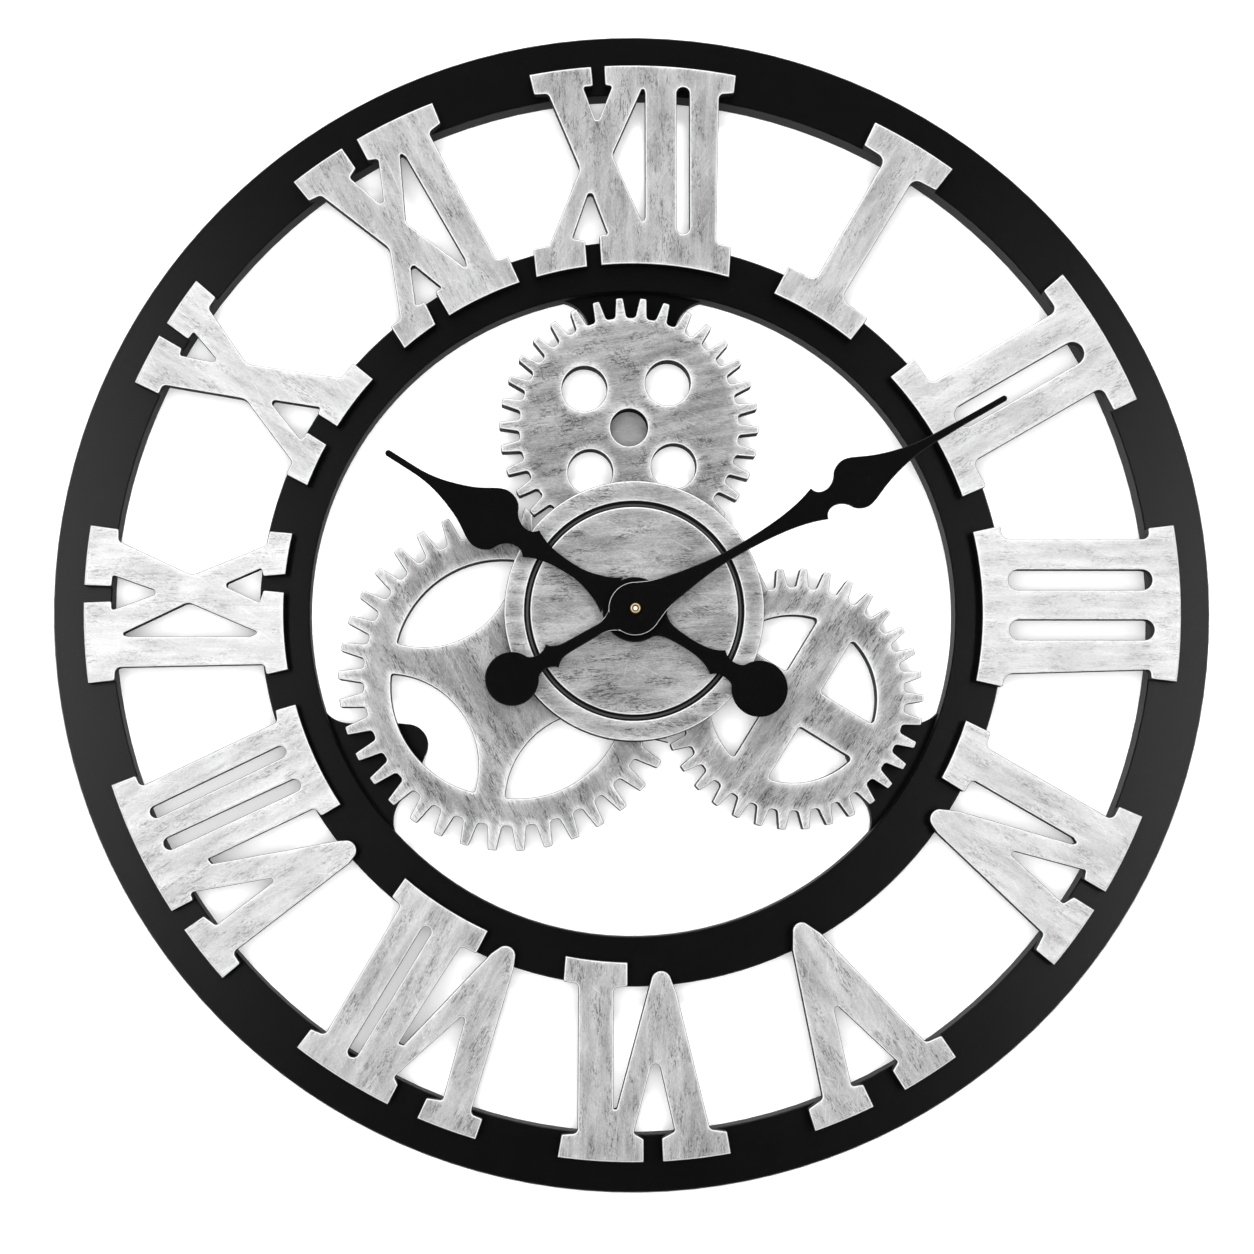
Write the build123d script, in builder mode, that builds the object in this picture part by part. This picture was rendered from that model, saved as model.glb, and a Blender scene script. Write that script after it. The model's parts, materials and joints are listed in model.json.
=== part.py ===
from build123d import *
from math import acos, atan2, cos, degrees, hypot, pi, radians, sin, sqrt, tan
import os

# ---------------------------------------------------------------- wall clock
# Millimetres.  The clock hangs on a wall in the plane y = 0 and faces -Y, +Z is up.
# The origin is the point on the wall where the hanging screw carries the keyhole plate.
# "Height" below means distance in front of the wall.

os.makedirs("parts", exist_ok=True)

# hanging point and dial centre
hang_height = 278.0            # keyhole seat above the dial centre

# the two black rings
ring_depth = 12.0              # board thickness of both rings
outer_ring_radius = 290.0
outer_ring_bore = 261.0
inner_ring_radius = 187.0
inner_ring_bore = 162.0
tab_depth = 6.0                # the three tabs that carry the gear plates
tab_half_width = 21.5
tab_nose_radius = 10.4
tab_fillet = 13.0
# the tabs: angle clockwise from twelve o'clock, distance of the nose's centre from the dial centre
tab_reach = {0: 131.0, 120: 136.0, 240: 131.0}

# numerals
numeral_depth = 6.0
numeral_outer_radius = 274.0
numeral_inner_radius = 174.5

# gear plates: x, z of the centre from the dial centre, tip and root radius, teeth
plate_back = tab_depth
plate_depth = 9.0
plate_front = plate_back + plate_depth
edge_bevel = 0.5
top_gear = (-2.0, 93.1, 65.0, 55.0, 34)
left_gear = (-61.5, -33.0, 86.0, 73.5, 38)
right_gear = (80.0, -42.9, 65.5, 56.0, 34)
neighbour_gap = 0.6
movement_window = 58.0

# centre disc
disc_radius = 64.5
disc_front = 27.0
groove_outer_radius = 54.4
groove_inner_radius = 51.6
groove_floor = 22.5
pocket_floor = 21.0
shaft_hole_radius = 4.2

# quartz movement
case_size = 56.0
case_back = 5.0
case_front = 20.0
case_wall = 1.5
cover_depth = 1.5
cover_front = case_back + cover_depth
front_wall = case_front - case_wall
pivot_radius = 0.5
pivot_hole_radius = 0.58
pivot_depth = 0.6

# arbor positions, x and z from the dial centre
third_arbor = (9.35, 5.4)
second_arbor = (11.99, 15.25)
intermediate_arbor = (3.13, 16.8)
rotor_arbor = (-4.23, 21.05)
motion_arbor = (-8.49, 8.49)
setting_arbor = (-20.49, 8.49)

# layers of the wheels, back face and thickness
layer_f = (7.0, 0.6)           # intermediate wheel, rotor pinion
layer_e = (8.2, 0.8)           # second wheel, intermediate pinion
layer_d = (10.0, 0.8)          # third wheel, second pinion
layer_c = (12.0, 0.8)          # centre wheel, third pinion
layer_b = (14.2, 1.6)          # motion wheel, cannon pinion, setting pinion
layer_a = (16.3, 1.6)          # hour wheel, motion pinion

# hands
bush_radius = 4.0
bush_bore = 2.58
bush_end = 30.5
hour_tube_radius = 2.5
hour_tube_bore = 1.68
hour_hand_back = 31.6
minute_arbor_radius = 1.6
minute_hand_back = 35.8
hand_depth = 1.5
hour_angle = 302.4             # clockwise from twelve o'clock
minute_angle = 60.3

# battery
battery_radius = 7.1
battery_height = 11.3          # axis in front of the wall
battery_z = -19.25


def level(height):
    """Sketch plane parallel to the wall at a given height, centred on the dial."""
    return Plane(origin=(0, -height, -hang_height), x_dir=(1, 0, 0), z_dir=(0, -1, 0))


def clock_plane(height, angle):
    """The same plane turned clockwise by an angle, as a numeral or a hand sits."""
    a = radians(angle)
    return Plane(
        origin=(0, -height, -hang_height), x_dir=(cos(a), 0, -sin(a)), z_dir=(0, -1, 0)
    )


def around(radius, angle):
    """Point at a radius and a clockwise angle from twelve o'clock."""
    return (radius * sin(radians(angle)), radius * cos(radians(angle)))


def turned(point, angle):
    """A point turned clockwise about the dial centre."""
    a = radians(angle)
    return (point[0] * cos(a) + point[1] * sin(a), point[1] * cos(a) - point[0] * sin(a))


def rim(x):
    """Corner on the numerals' outer arc."""
    return (x, sqrt(numeral_outer_radius ** 2 - x * x), 0)


def foot(x):
    """Corner on the numerals' inner arc."""
    return (x, sqrt(numeral_inner_radius ** 2 - x * x), 0)


def corner_arc(before, corner, after):
    """Start, middle and end of the arc that rounds a corner; before and after are points."""
    here = Vector(corner[0], corner[1])
    radius = corner[2]
    back = (Vector(before[0], before[1]) - here).normalized()
    ahead = (Vector(after[0], after[1]) - here).normalized()
    half = acos(max(-1, min(1, back.dot(ahead)))) / 2
    reach = radius / tan(half)
    centre = here + (back + ahead).normalized() * (radius / sin(half))
    middle = centre + (here - centre).normalized() * radius
    return (here + back * reach, middle, here + ahead * reach)


def rounded_face(corners, mode=Mode.ADD):
    """Face with straight sides, rounded corners, and arcs about the dial centre."""
    count = len(corners)
    with BuildLine() as outline:
        starts = []
        ends = []
        for i in range(count):
            corner = corners[i]
            if corner[2] > 0:
                arc = corner_arc(corners[i - 1], corner, corners[(i + 1) % count])
                ThreePointArc(arc[0], arc[1], arc[2])
                starts.append(arc[0])
                ends.append(arc[2])
            else:
                starts.append(Vector(corner[0], corner[1]))
                ends.append(Vector(corner[0], corner[1]))
        for i in range(count):
            here = corners[i]
            there = corners[(i + 1) % count]
            same_circle = abs(hypot(here[0], here[1]) - hypot(there[0], there[1])) < 0.001
            if here[2] == 0 and there[2] == 0 and same_circle:
                centre_angle = (atan2(here[1], here[0]) + atan2(there[1], there[0])) / 2
                radius = hypot(here[0], here[1])
                middle = (radius * cos(centre_angle), radius * sin(centre_angle))
                ThreePointArc(ends[i], middle, starts[(i + 1) % count])
            else:
                Line(ends[i], starts[(i + 1) % count])
    make_face(outline.edges(), mode=mode)


def slot_between(first, second, width, mode=Mode.ADD):
    """Round-ended slot whose end arcs just reach the two points."""
    span = Vector(second[0] - first[0], second[1] - first[1])
    middle = ((first[0] + second[0]) / 2, (first[1] + second[1]) / 2)
    turn = degrees(atan2(span.Y, span.X))
    with Locations(Location((middle[0], middle[1], 0), (0, 0, turn))):
        SlotOverall(span.length, width, mode=mode)


def save(part, label):
    part.label = label
    export_step(part, "parts/" + label + ".step")


def bevel_front(builder, size=edge_bevel):
    """Small bevel round every outline of a plate's front face."""
    chamfer(builder.faces().sort_by(Axis.Y)[0].edges(), size)


# ------------------------------------------------------------- numeral shapes
# Corner lists (x, y, corner radius) in an upright frame with the dial centre at (0, 0).

numeral_names = (
    "numeral_i", "numeral_ii", "numeral_iii", "numeral_iv", "numeral_v", "numeral_vi",
    "numeral_vii", "numeral_viii", "numeral_ix", "numeral_x", "numeral_xi", "numeral_xii",
)

numeral_outlines = {
    1: [
        rim(-18), rim(27.5), (25.5, 259, 1), (13, 258.5, 4), (11.5, 188, 4.5), (28, 186.5, 1),
        foot(26), foot(-19), (-19.5, 189.5, 1), (-4.5, 189.5, 4), (-4.5, 260, 4),
        (-17, 260.5, 1),
    ],
    2: [
        rim(-39.5), rim(33.5), (32.5, 259, 1), (19.5, 259.5, 3.5), (19.5, 185, 3.5),
        (33.5, 184.5, 1), foot(32), foot(-38), (-40, 185.5, 1), (-25, 186, 3.5),
        (-25, 259.5, 3.5), (-37, 258.5, 1),
    ],
    3: [
        rim(-44), rim(34.5), (33, 259, 1), (28.5, 258.5, 2), (30.5, 185.5, 5), (37, 184.5, 1),
        foot(34), foot(-40.5), (-43.5, 183.5, 1), (-37, 184.5, 4), (-37, 258, 3),
        (-42.5, 257.5, 1),
    ],
    4: [
        rim(-39), rim(3), (3, 261.5, 1), (-1.5, 260, 1), (9.5, 219, 1.5), (18.5, 258.5, 1.5),
        (13, 261.5, 1), rim(13.5), rim(47.5), (45.5, 258, 1), (36.5, 257.5, 2),
        (19.5, 186.5, 2), (12.5, 172, 5), (4.5, 190.5, 2), (-9.5, 247.5, 0.6),
        (-11, 249.5, 0.6), (-12.5, 246.5, 0.6), (-12.5, 188, 2.5), (-5, 188, 1), foot(-5.5),
        foot(-36.5), (-37.5, 184.5, 1), (-30, 186, 3), (-30, 259, 3), (-37.5, 258.5, 1),
    ],
    5: [
        rim(-28.5), rim(2), (2.5, 262.5, 1), (-2, 260, 1), (11, 217, 1.5), (24, 259, 1.5),
        (18.5, 261, 1), rim(19.5), rim(51), (48.5, 258, 1), (39.5, 257, 2.5),
        (15.5, 185.5, 2), (6.5, 170, 4.5), (-1, 185.5, 2), (-19, 258.5, 2.5),
        (-27.5, 259.5, 1),
    ],
    6: [
        rim(-48.5), rim(-14.5), (-14, 262, 1), (-20.5, 258.5, 1.5), (-11, 217, 2.5),
        (0, 259.5, 1.5), (-5, 262.5, 1), rim(-5), rim(38), (36, 260, 1), (28, 259.5, 2.5),
        (27.5, 185, 2.5), (35, 184, 1), foot(34), foot(3), (3, 186.5, 1), (10, 187, 2.5),
        (10, 247.5, 0.6), (8.5, 247.5, 0.6), (-9, 182, 2), (-14, 170.5, 5), (-21.5, 190, 2),
        (-38, 257.5, 2.5), (-46.5, 258.5, 1),
    ],
    7: [
        rim(-63), rim(-32.5), (-31.5, 261, 1), (-39, 258, 1.5), (-27.5, 213.5, 1.5),
        (-12.5, 260, 1.5), (-16, 262.5, 1), rim(-16.5), rim(37), (35.5, 260, 1),
        (28, 259, 2.5), (27.5, 184.5, 2.5), (33.5, 183, 1), foot(32.5), foot(-16.5),
        (-17, 186.5, 1), (-8.5, 187, 2.5), (-6, 244.5, 0.6), (-8.5, 244, 0.6),
        (-23.5, 182.5, 2), (-30.5, 168, 5), (-37, 183.5, 2), (-54.5, 257, 2.5),
        (-61, 256, 1),
    ],
    8: [
        rim(-55.5), rim(-25), (-24, 261, 1), (-31, 258, 1.5), (-26, 218.5, 1.2),
        (-10.5, 261, 1.5), (-14.5, 261.5, 1), rim(-14), rim(55.5), (53.5, 255.5, 1),
        (47.5, 256, 2.5), (41.5, 181, 2.5), (47, 179, 1), foot(44.5), foot(-10),
        (-10, 185.5, 1), (-5, 186.5, 2.5), (-0.5, 245, 0.6), (-3.5, 244.5, 0.6),
        (-24.5, 185.5, 2), (-31.5, 171, 5), (-37.5, 185.5, 2), (-47, 257.5, 2.5),
        (-53.5, 257, 1),
    ],
    9: [
        rim(-35.5), rim(5), (5.5, 260, 1), (1, 260, 1), (10, 235.5, 1.5), (18.5, 259.5, 1),
        (13, 260, 1), rim(13.5), rim(43.5), (41.5, 256.5, 1), (35.5, 256.5, 2.5),
        (18.5, 220, 6), (33.5, 183, 2.5), (40.5, 181.5, 1), foot(39.5), foot(19),
        (18, 184.5, 1), (22, 185.5, 1), (13.5, 205, 1.5), (5, 186.5, 1), (11, 184.5, 1),
        foot(10), foot(-28.5), (-31, 183, 1), (-26, 184, 2), (-27.5, 258, 3), (-34, 258.5, 1),
    ],
    10: [
        rim(-25), rim(1.5), (1.5, 261, 1), (-2, 260, 1), (4.5, 240.5, 1.5), (11.5, 260, 1),
        (7, 260.5, 1), rim(8.5), rim(34.5), (32, 259, 1), (25.5, 259.5, 2.5), (11, 229, 6),
        (28.5, 185, 2.5), (38, 183.5, 1), foot(36), foot(6.5), (7, 186, 1), (10.5, 186.5, 1),
        (1, 211, 1.5), (-8.5, 186.5, 1), (-3.5, 186, 1), foot(-4), foot(-26.5),
        (-27, 184.5, 1), (-20, 185, 2), (-4.5, 221, 6), (-19, 260, 2.5), (-24, 259.5, 1),
    ],
    11: [
        rim(-39.5), rim(-10), (-9, 261.5, 1), (-14, 259, 1.5), (-6.5, 237.5, 1.5),
        (3, 260, 1.5), (-2, 262, 1), rim(-1.5), rim(40.5), (39, 260, 1), (31.5, 259, 2.5),
        (29, 186.5, 2.5), (35, 186, 1), foot(33.5), foot(-5.5), (-5.5, 188.5, 1),
        (-1.5, 188, 1), (-9, 207.5, 1.5), (-17.5, 187, 1), (-12.5, 186.5, 1), foot(-13.5),
        foot(-33), (-33.5, 184.5, 1), (-27.5, 185, 2), (-14.5, 218.5, 6), (-31, 258.5, 2.5),
        (-37.5, 259, 1),
    ],
    12: [
        rim(-52), rim(-21), (-20, 263.5, 1), (-25, 263, 1), (-18, 244.5, 1.2),
        (-10.5, 263.5, 1), (-14, 264, 1), rim(-14.5), rim(51.5), (50.5, 260, 1),
        (43, 259.5, 2.5), (41.5, 185, 2.5), (49, 183.5, 1), foot(48), foot(-16),
        (-17, 189, 1), (-12.5, 189, 1), (-21.5, 212.5, 1.5), (-30.5, 187, 1), (-24, 186, 1),
        foot(-23), foot(-48.5), (-50, 182, 1), (-42, 183.5, 2), (-26.5, 222, 6),
        (-42.5, 259.5, 2.5), (-49.5, 259, 1),
    ],
}

# openings between the strokes: first end, second end and width of each round-ended slot
numeral_slots = {
    2: [((-2.5, 261), (-2.5, 188), 11.4)],
    3: [((-16.5, 259.5), (-16.5, 187.5), 10.2), ((8.5, 260.5), (8.5, 188), 10.2)],
    7: [((11.5, 262), (10, 187), 5.3)],
    8: [((16, 260.5), (9.5, 186.5), 6.3), ((33, 258.5), (27.5, 184.5), 6)],
    12: [((25, 263), (25, 189.5), 6.5)],
}

# openings between a bar and the leg of an X
numeral_windows = {
    9: [(-11, 255.5, 0.8), (-12, 252, 1), (-12, 191, 1), (-10, 187, 0.8), (5, 222, 5)],
    11: [(14, 257.5, 0.8), (15.5, 254, 1), (15.5, 195.5, 1), (14, 190, 0.8), (-1, 225.5, 5)],
    12: [(5, 263.5, 0.8), (6, 260, 1), (6, 198, 1), (5, 194.5, 0.8), (-10.5, 229, 5)],
}

# fixing screws of each numeral: x at the outer ring, x at the inner ring
numeral_screw_x = {
    1: (3, 3), 2: (-17, -17), 3: (-29, -29), 4: (-21, -21), 5: (-14, 7), 6: (19, 19),
    7: (-47, 1), 8: (-40, 2), 9: (-19, -19), 10: (-13, -14), 11: (-25, 22), 12: (-37, 14),
}
screw_outer_radius = 267.5
screw_inner_radius = 180.0
screw_shank_radius = 1.75
screw_clearance = 2.0
screw_pilot = 1.85
screw_head_radius = 3.4
screw_head_depth = 1.8


def numeral_screw_points():
    """Dial positions of the numerals' screws, outer ring first."""
    outer = []
    inner = []
    for hour in range(1, 13):
        x_outer, x_inner = numeral_screw_x[hour]
        z_outer = sqrt(screw_outer_radius ** 2 - x_outer ** 2)
        z_inner = sqrt(screw_inner_radius ** 2 - x_inner ** 2)
        outer.append(turned((x_outer, z_outer), 30 * hour))
        inner.append(turned((x_inner, z_inner), 30 * hour))
    return outer, inner


outer_screw_points, inner_screw_points = numeral_screw_points()
tab_screw_points = []
for tab_angle in tab_reach:
    for side in (-8, 8):
        tab_screw_points.append(turned((side, 136), tab_angle))
housing_screw_points = [around(59.5, angle) for angle in (0, 118, 242)]


def cut_screw_holes(points, back, front):
    """Cut countersunk holes through a board between two heights."""
    for p in points:
        place = level(back).location * Location((p[0], p[1], 0))
        with Locations(place):
            Cylinder(
                screw_clearance, front - back,
                align=(Align.CENTER, Align.CENTER, Align.MIN), mode=Mode.SUBTRACT,
            )
            Cone(
                screw_head_radius + 0.1, screw_clearance, screw_head_depth + 0.2,
                align=(Align.CENTER, Align.CENTER, Align.MIN), mode=Mode.SUBTRACT,
            )


def cut_pilots(points, start, depth, radius=screw_pilot):
    """Cut blind pilot holes that open at a height and run forward."""
    for p in points:
        place = level(start).location * Location((p[0], p[1], 0))
        with Locations(place):
            Cylinder(
                radius, depth,
                align=(Align.CENTER, Align.CENTER, Align.MIN), mode=Mode.SUBTRACT,
            )


def add_screws(
    points, head, length,
    shank=screw_shank_radius, head_radius=screw_head_radius, head_depth=screw_head_depth,
):
    """Countersunk screws with a cross recess, heads towards the wall."""
    for p in points:
        place = level(head).location * Location((p[0], p[1], 0))
        with Locations(place):
            Cone(
                head_radius - 0.15, shank, head_depth,
                align=(Align.CENTER, Align.CENTER, Align.MIN),
            )
            Cylinder(shank, length, align=(Align.CENTER, Align.CENTER, Align.MIN))
            Box(
                2 * shank, 0.7, 1.1 * head_depth,
                align=(Align.CENTER, Align.CENTER, Align.CENTER), mode=Mode.SUBTRACT,
            )
            Box(
                0.7, 2 * shank, 1.1 * head_depth,
                align=(Align.CENTER, Align.CENTER, Align.CENTER), mode=Mode.SUBTRACT,
            )


# -------------------------------------------------------------------- rings

hanger_size = (46.0, 20.0)
hanger_plate_depth = 1.5
keyhole_entry_radius = 4.5
keyhole_slot_width = 4.6
keyhole_drop = 9.0
hanger_screw_x = 17.5
hanger_screw_shank = 1.25
hanger_head_depth = 1.2
hanger_screw_points = [(-hanger_screw_x, hang_height - 4), (hanger_screw_x, hang_height - 4)]

with BuildPart() as outer_ring:
    with BuildSketch(level(0)):
        Circle(outer_ring_radius)
        Circle(outer_ring_bore, mode=Mode.SUBTRACT)
    extrude(amount=ring_depth)
    chamfer(outer_ring.faces().sort_by(Axis.Y)[0].edges(), edge_bevel)
    # recess for the keyhole plate and the space behind it for the screw head
    with BuildSketch(level(0)):
        with Locations((0, hang_height - 4)):
            RectangleRounded(hanger_size[0] + 0.4, hanger_size[1] + 0.4, 4.2)
    extrude(amount=hanger_plate_depth + 0.1, mode=Mode.SUBTRACT)
    with BuildSketch(level(0)):
        with Locations((0, hang_height - 4)):
            RectangleRounded(16, 19, 4)
    extrude(amount=7, mode=Mode.SUBTRACT)
    cut_screw_holes(outer_screw_points, 0, ring_depth)
    cut_pilots(hanger_screw_points, 1, 8, hanger_screw_shank + 0.1)
save(outer_ring.part, "outer_ring")


def tab_outline(reach):
    """Bell-shaped tab that points at the dial centre, drawn below twelve o'clock."""
    shoulder = 143.0
    ring_point = sqrt(inner_ring_bore ** 2 - (tab_half_width + tab_fillet) ** 2)
    lean = 0.5
    side = (tab_nose_radius * cos(lean), reach - tab_nose_radius * sin(lean))
    with BuildLine() as edge:
        Line((-tab_half_width - tab_fillet, ring_point + 4), (tab_half_width + tab_fillet, ring_point + 4))
        Line((tab_half_width + tab_fillet, ring_point + 4), (tab_half_width + tab_fillet, ring_point))
        ThreePointArc(
            (tab_half_width + tab_fillet, ring_point),
            (tab_half_width + 0.32 * tab_fillet, ring_point - 0.4 * tab_fillet),
            (tab_half_width, shoulder),
        )
        Line((tab_half_width, shoulder), side)
        ThreePointArc(side, (0, reach - tab_nose_radius), (-side[0], side[1]))
        Line((-side[0], side[1]), (-tab_half_width, shoulder))
        ThreePointArc(
            (-tab_half_width, shoulder),
            (-tab_half_width - 0.32 * tab_fillet, ring_point - 0.4 * tab_fillet),
            (-tab_half_width - tab_fillet, ring_point),
        )
        Line((-tab_half_width - tab_fillet, ring_point), (-tab_half_width - tab_fillet, ring_point + 4))
    make_face(edge.edges())


with BuildPart() as inner_ring:
    with BuildSketch(level(0)):
        Circle(inner_ring_radius)
        Circle(inner_ring_bore, mode=Mode.SUBTRACT)
    extrude(amount=ring_depth)
    chamfer(inner_ring.faces().sort_by(Axis.Y)[0].edges(), edge_bevel)
    for tab_angle, reach in tab_reach.items():
        with BuildSketch(clock_plane(0, tab_angle)):
            tab_outline(reach)
        extrude(amount=tab_depth)
    cut_screw_holes(inner_screw_points, 0, ring_depth)
    cut_screw_holes(tab_screw_points, 0, tab_depth)
save(inner_ring.part, "inner_ring")

# ------------------------------------------------------------------ numerals

for hour in range(1, 13):
    with BuildPart() as numeral:
        with BuildSketch(clock_plane(ring_depth, 30 * hour)):
            rounded_face(numeral_outlines[hour])
            for ends in numeral_slots.get(hour, []):
                slot_between(ends[0], ends[1], ends[2], mode=Mode.SUBTRACT)
            if hour in numeral_windows:
                rounded_face(numeral_windows[hour], mode=Mode.SUBTRACT)
        extrude(amount=numeral_depth)
        bevel_front(numeral)
        cut_pilots([outer_screw_points[hour - 1], inner_screw_points[hour - 1]], ring_depth, 4.2)
    save(numeral.part, numeral_names[hour - 1])

# --------------------------------------------------------------- gear plates


def plate_teeth(tip_radius, root_radius, teeth, first_angle, base_width, tip_width, root_round):
    """Closed corner list of a toothed disc; angles run clockwise from twelve o'clock."""
    corners = []
    for i in range(teeth):
        angle = first_angle + 360 * i / teeth
        for x, y, r in (
            (-base_width / 2, root_radius, root_round),
            (-tip_width / 2, tip_radius, 0.8),
            (tip_width / 2, tip_radius, 0.8),
            (base_width / 2, root_radius, root_round),
        ):
            point = turned((x, y), angle)
            corners.append((point[0], point[1], r))
    return corners


def lens(middle_angle, half_span, outer_radius, inner_radius):
    """Petal-shaped opening between an arc about the hub and an arc bowed towards the hub."""
    first = around(outer_radius - 1.5, middle_angle - half_span)
    second = around(outer_radius - 1.5, middle_angle + half_span)
    with BuildSketch(mode=Mode.PRIVATE) as petal:
        with BuildLine():
            ThreePointArc(first, around(outer_radius, middle_angle), second)
            ThreePointArc(second, around(inner_radius, middle_angle), first)
        make_face()
        fillet(petal.vertices(), 1.2)
    add(petal.sketch, mode=Mode.SUBTRACT)


def plate_outline(gear, first_angle, base_width, tip_width, root_round):
    """Toothed outline of a gear plate about its own centre."""
    rounded_face(plate_teeth(gear[2], gear[3], gear[4], first_angle, base_width, tip_width, root_round))


def plate_plane(gear):
    """Sketch plane at the back of the gear plates, centred on one gear."""
    return Plane(
        origin=(gear[0], -plate_back, gear[1] - hang_height), x_dir=(1, 0, 0), z_dir=(0, -1, 0)
    )


def cut_window():
    """Square clearance for the movement, cut from a finished plate."""
    with BuildSketch(level(plate_back)) as window:
        RectangleRounded(movement_window, movement_window, 3)
    extrude(window.sketch, amount=plate_depth, mode=Mode.SUBTRACT)


def housing_pilots(angle_index):
    """Countersunk hole for the screw that holds the disc housing on a plate."""
    cut_screw_holes([housing_screw_points[angle_index]], plate_back, plate_front)


with BuildPart() as gear_plate_top:
    with BuildSketch(plate_plane(top_gear)):
        plate_outline(top_gear, 6.3, 5.8, 3.4, 1.8)
        Circle(9.35, mode=Mode.SUBTRACT)
        with Locations(*[around(29.6, angle) for angle in (41, 131, 221, 311)]):
            Circle(11.3, mode=Mode.SUBTRACT)
    extrude(amount=plate_depth)
    bevel_front(gear_plate_top)
    cut_window()
    cut_pilots(tab_screw_points[0:2], plate_back, 6.4)
    housing_pilots(0)
save(gear_plate_top.part, "gear_plate_top")

with BuildPart() as gear_plate_left:
    with BuildSketch(plate_plane(left_gear)):
        plate_outline(left_gear, 224.0, 7.4, 4.2, 2.0)
        for petal_angle in (325, 235, 145):
            lens(petal_angle, 37.5, 61.0, 29.6)
    extrude(amount=plate_depth)
    bevel_front(gear_plate_left)
    cut_window()
    # the plate is cut back where its neighbours' teeth run under the disc
    for neighbour in (top_gear, right_gear):
        with BuildSketch(plate_plane(neighbour)):
            Circle(neighbour[2] + neighbour_gap)
        extrude(amount=plate_depth, mode=Mode.SUBTRACT)
    cut_pilots(tab_screw_points[4:6], plate_back, 6.4)
    housing_pilots(2)
save(gear_plate_left.part, "gear_plate_left")

spoke_half = 9.9
spoke_angle = 31.5
opening_radius = 42.0

with BuildPart() as gear_plate_right:
    with BuildSketch(plate_plane(right_gear)):
        plate_outline(right_gear, 121.3, 6.4, 3.4, 1.8)
        for turn in (0, 90, 180, 270):
            reach = sqrt(opening_radius ** 2 - spoke_half ** 2)
            start = turned((spoke_half, spoke_half), spoke_angle + turn)
            first = turned((spoke_half, reach), spoke_angle + turn)
            second = turned((reach, spoke_half), spoke_angle + turn)
            middle = turned((opening_radius * sin(pi / 4), opening_radius * sin(pi / 4)), spoke_angle + turn)
            with BuildSketch(mode=Mode.PRIVATE) as opening:
                with BuildLine():
                    Line(start, first)
                    ThreePointArc(first, middle, second)
                    Line(second, start)
                make_face()
                fillet(opening.vertices(), 1.8)
            add(opening.sketch, mode=Mode.SUBTRACT)
    extrude(amount=plate_depth)
    bevel_front(gear_plate_right)
    cut_window()
    cut_pilots(tab_screw_points[2:4], plate_back, 6.4)
    housing_pilots(1)
save(gear_plate_right.part, "gear_plate_right")

with BuildPart() as gear_backing_disc:
    with BuildSketch(level(plate_back - 2.5)):
        with Locations((top_gear[0], top_gear[1])):
            Circle(13.5)
    extrude(amount=2.5)
save(gear_backing_disc.part, "gear_backing_disc")

# --------------------------------------------------------------- centre disc

with BuildPart() as disc_housing:
    with BuildSketch(level(plate_front)):
        Circle(disc_radius)
    extrude(amount=disc_front - plate_front)
    with BuildSketch(level(groove_floor)):
        Circle(groove_outer_radius)
    extrude(amount=disc_front - groove_floor, mode=Mode.SUBTRACT)
    chamfer(disc_housing.faces().sort_by(Axis.Y)[0].edges(), edge_bevel)
    with BuildSketch(level(plate_front)):
        RectangleRounded(movement_window, movement_window, 3)
    extrude(amount=pocket_floor - plate_front, mode=Mode.SUBTRACT)
    with BuildSketch(level(pocket_floor)):
        Circle(shaft_hole_radius)
    extrude(amount=groove_floor - pocket_floor, mode=Mode.SUBTRACT)
    cut_pilots(housing_screw_points, plate_front, 9)
save(disc_housing.part, "disc_housing")

with BuildPart() as disc_face:
    with BuildSketch(level(groove_floor)):
        Circle(groove_inner_radius)
        Circle(shaft_hole_radius, mode=Mode.SUBTRACT)
    extrude(amount=disc_front - groove_floor)
    chamfer(disc_face.faces().sort_by(Axis.Y)[0].edges().sort_by(SortBy.LENGTH)[-1], edge_bevel)
save(disc_face.part, "disc_face")

# ------------------------------------------------------------------ movement

bay_top = -12.0
bay_bottom = -26.5
inner_half = case_size / 2 - case_wall
all_arbors = (third_arbor, second_arbor, intermediate_arbor, rotor_arbor, motion_arbor, setting_arbor)

with BuildPart() as movement_case:
    with BuildSketch(level(cover_front)):
        RectangleRounded(case_size, case_size, 2.5)
    extrude(amount=case_front - cover_front)
    with BuildSketch(level(cover_front)):
        with Locations((0, (inner_half + bay_top + 1) / 2)):
            RectangleRounded(2 * inner_half, inner_half - bay_top - 1, 1)
        with Locations((0, (bay_top + bay_bottom) / 2)):
            RectangleRounded(2 * inner_half, bay_top - bay_bottom, 1)
    extrude(amount=front_wall - cover_front, mode=Mode.SUBTRACT)
    with BuildSketch(level(front_wall)):
        Circle(bush_radius + 0.05)
    extrude(amount=case_wall, mode=Mode.SUBTRACT)
    # blind bearings for the arbors
    with BuildSketch(level(front_wall)):
        with Locations(*all_arbors):
            Circle(pivot_hole_radius)
    extrude(amount=pivot_depth, mode=Mode.SUBTRACT)
save(movement_case.part, "movement_case")

setting_hole_radius = 1.58
arbor_foot_radius = 0.8

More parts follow.
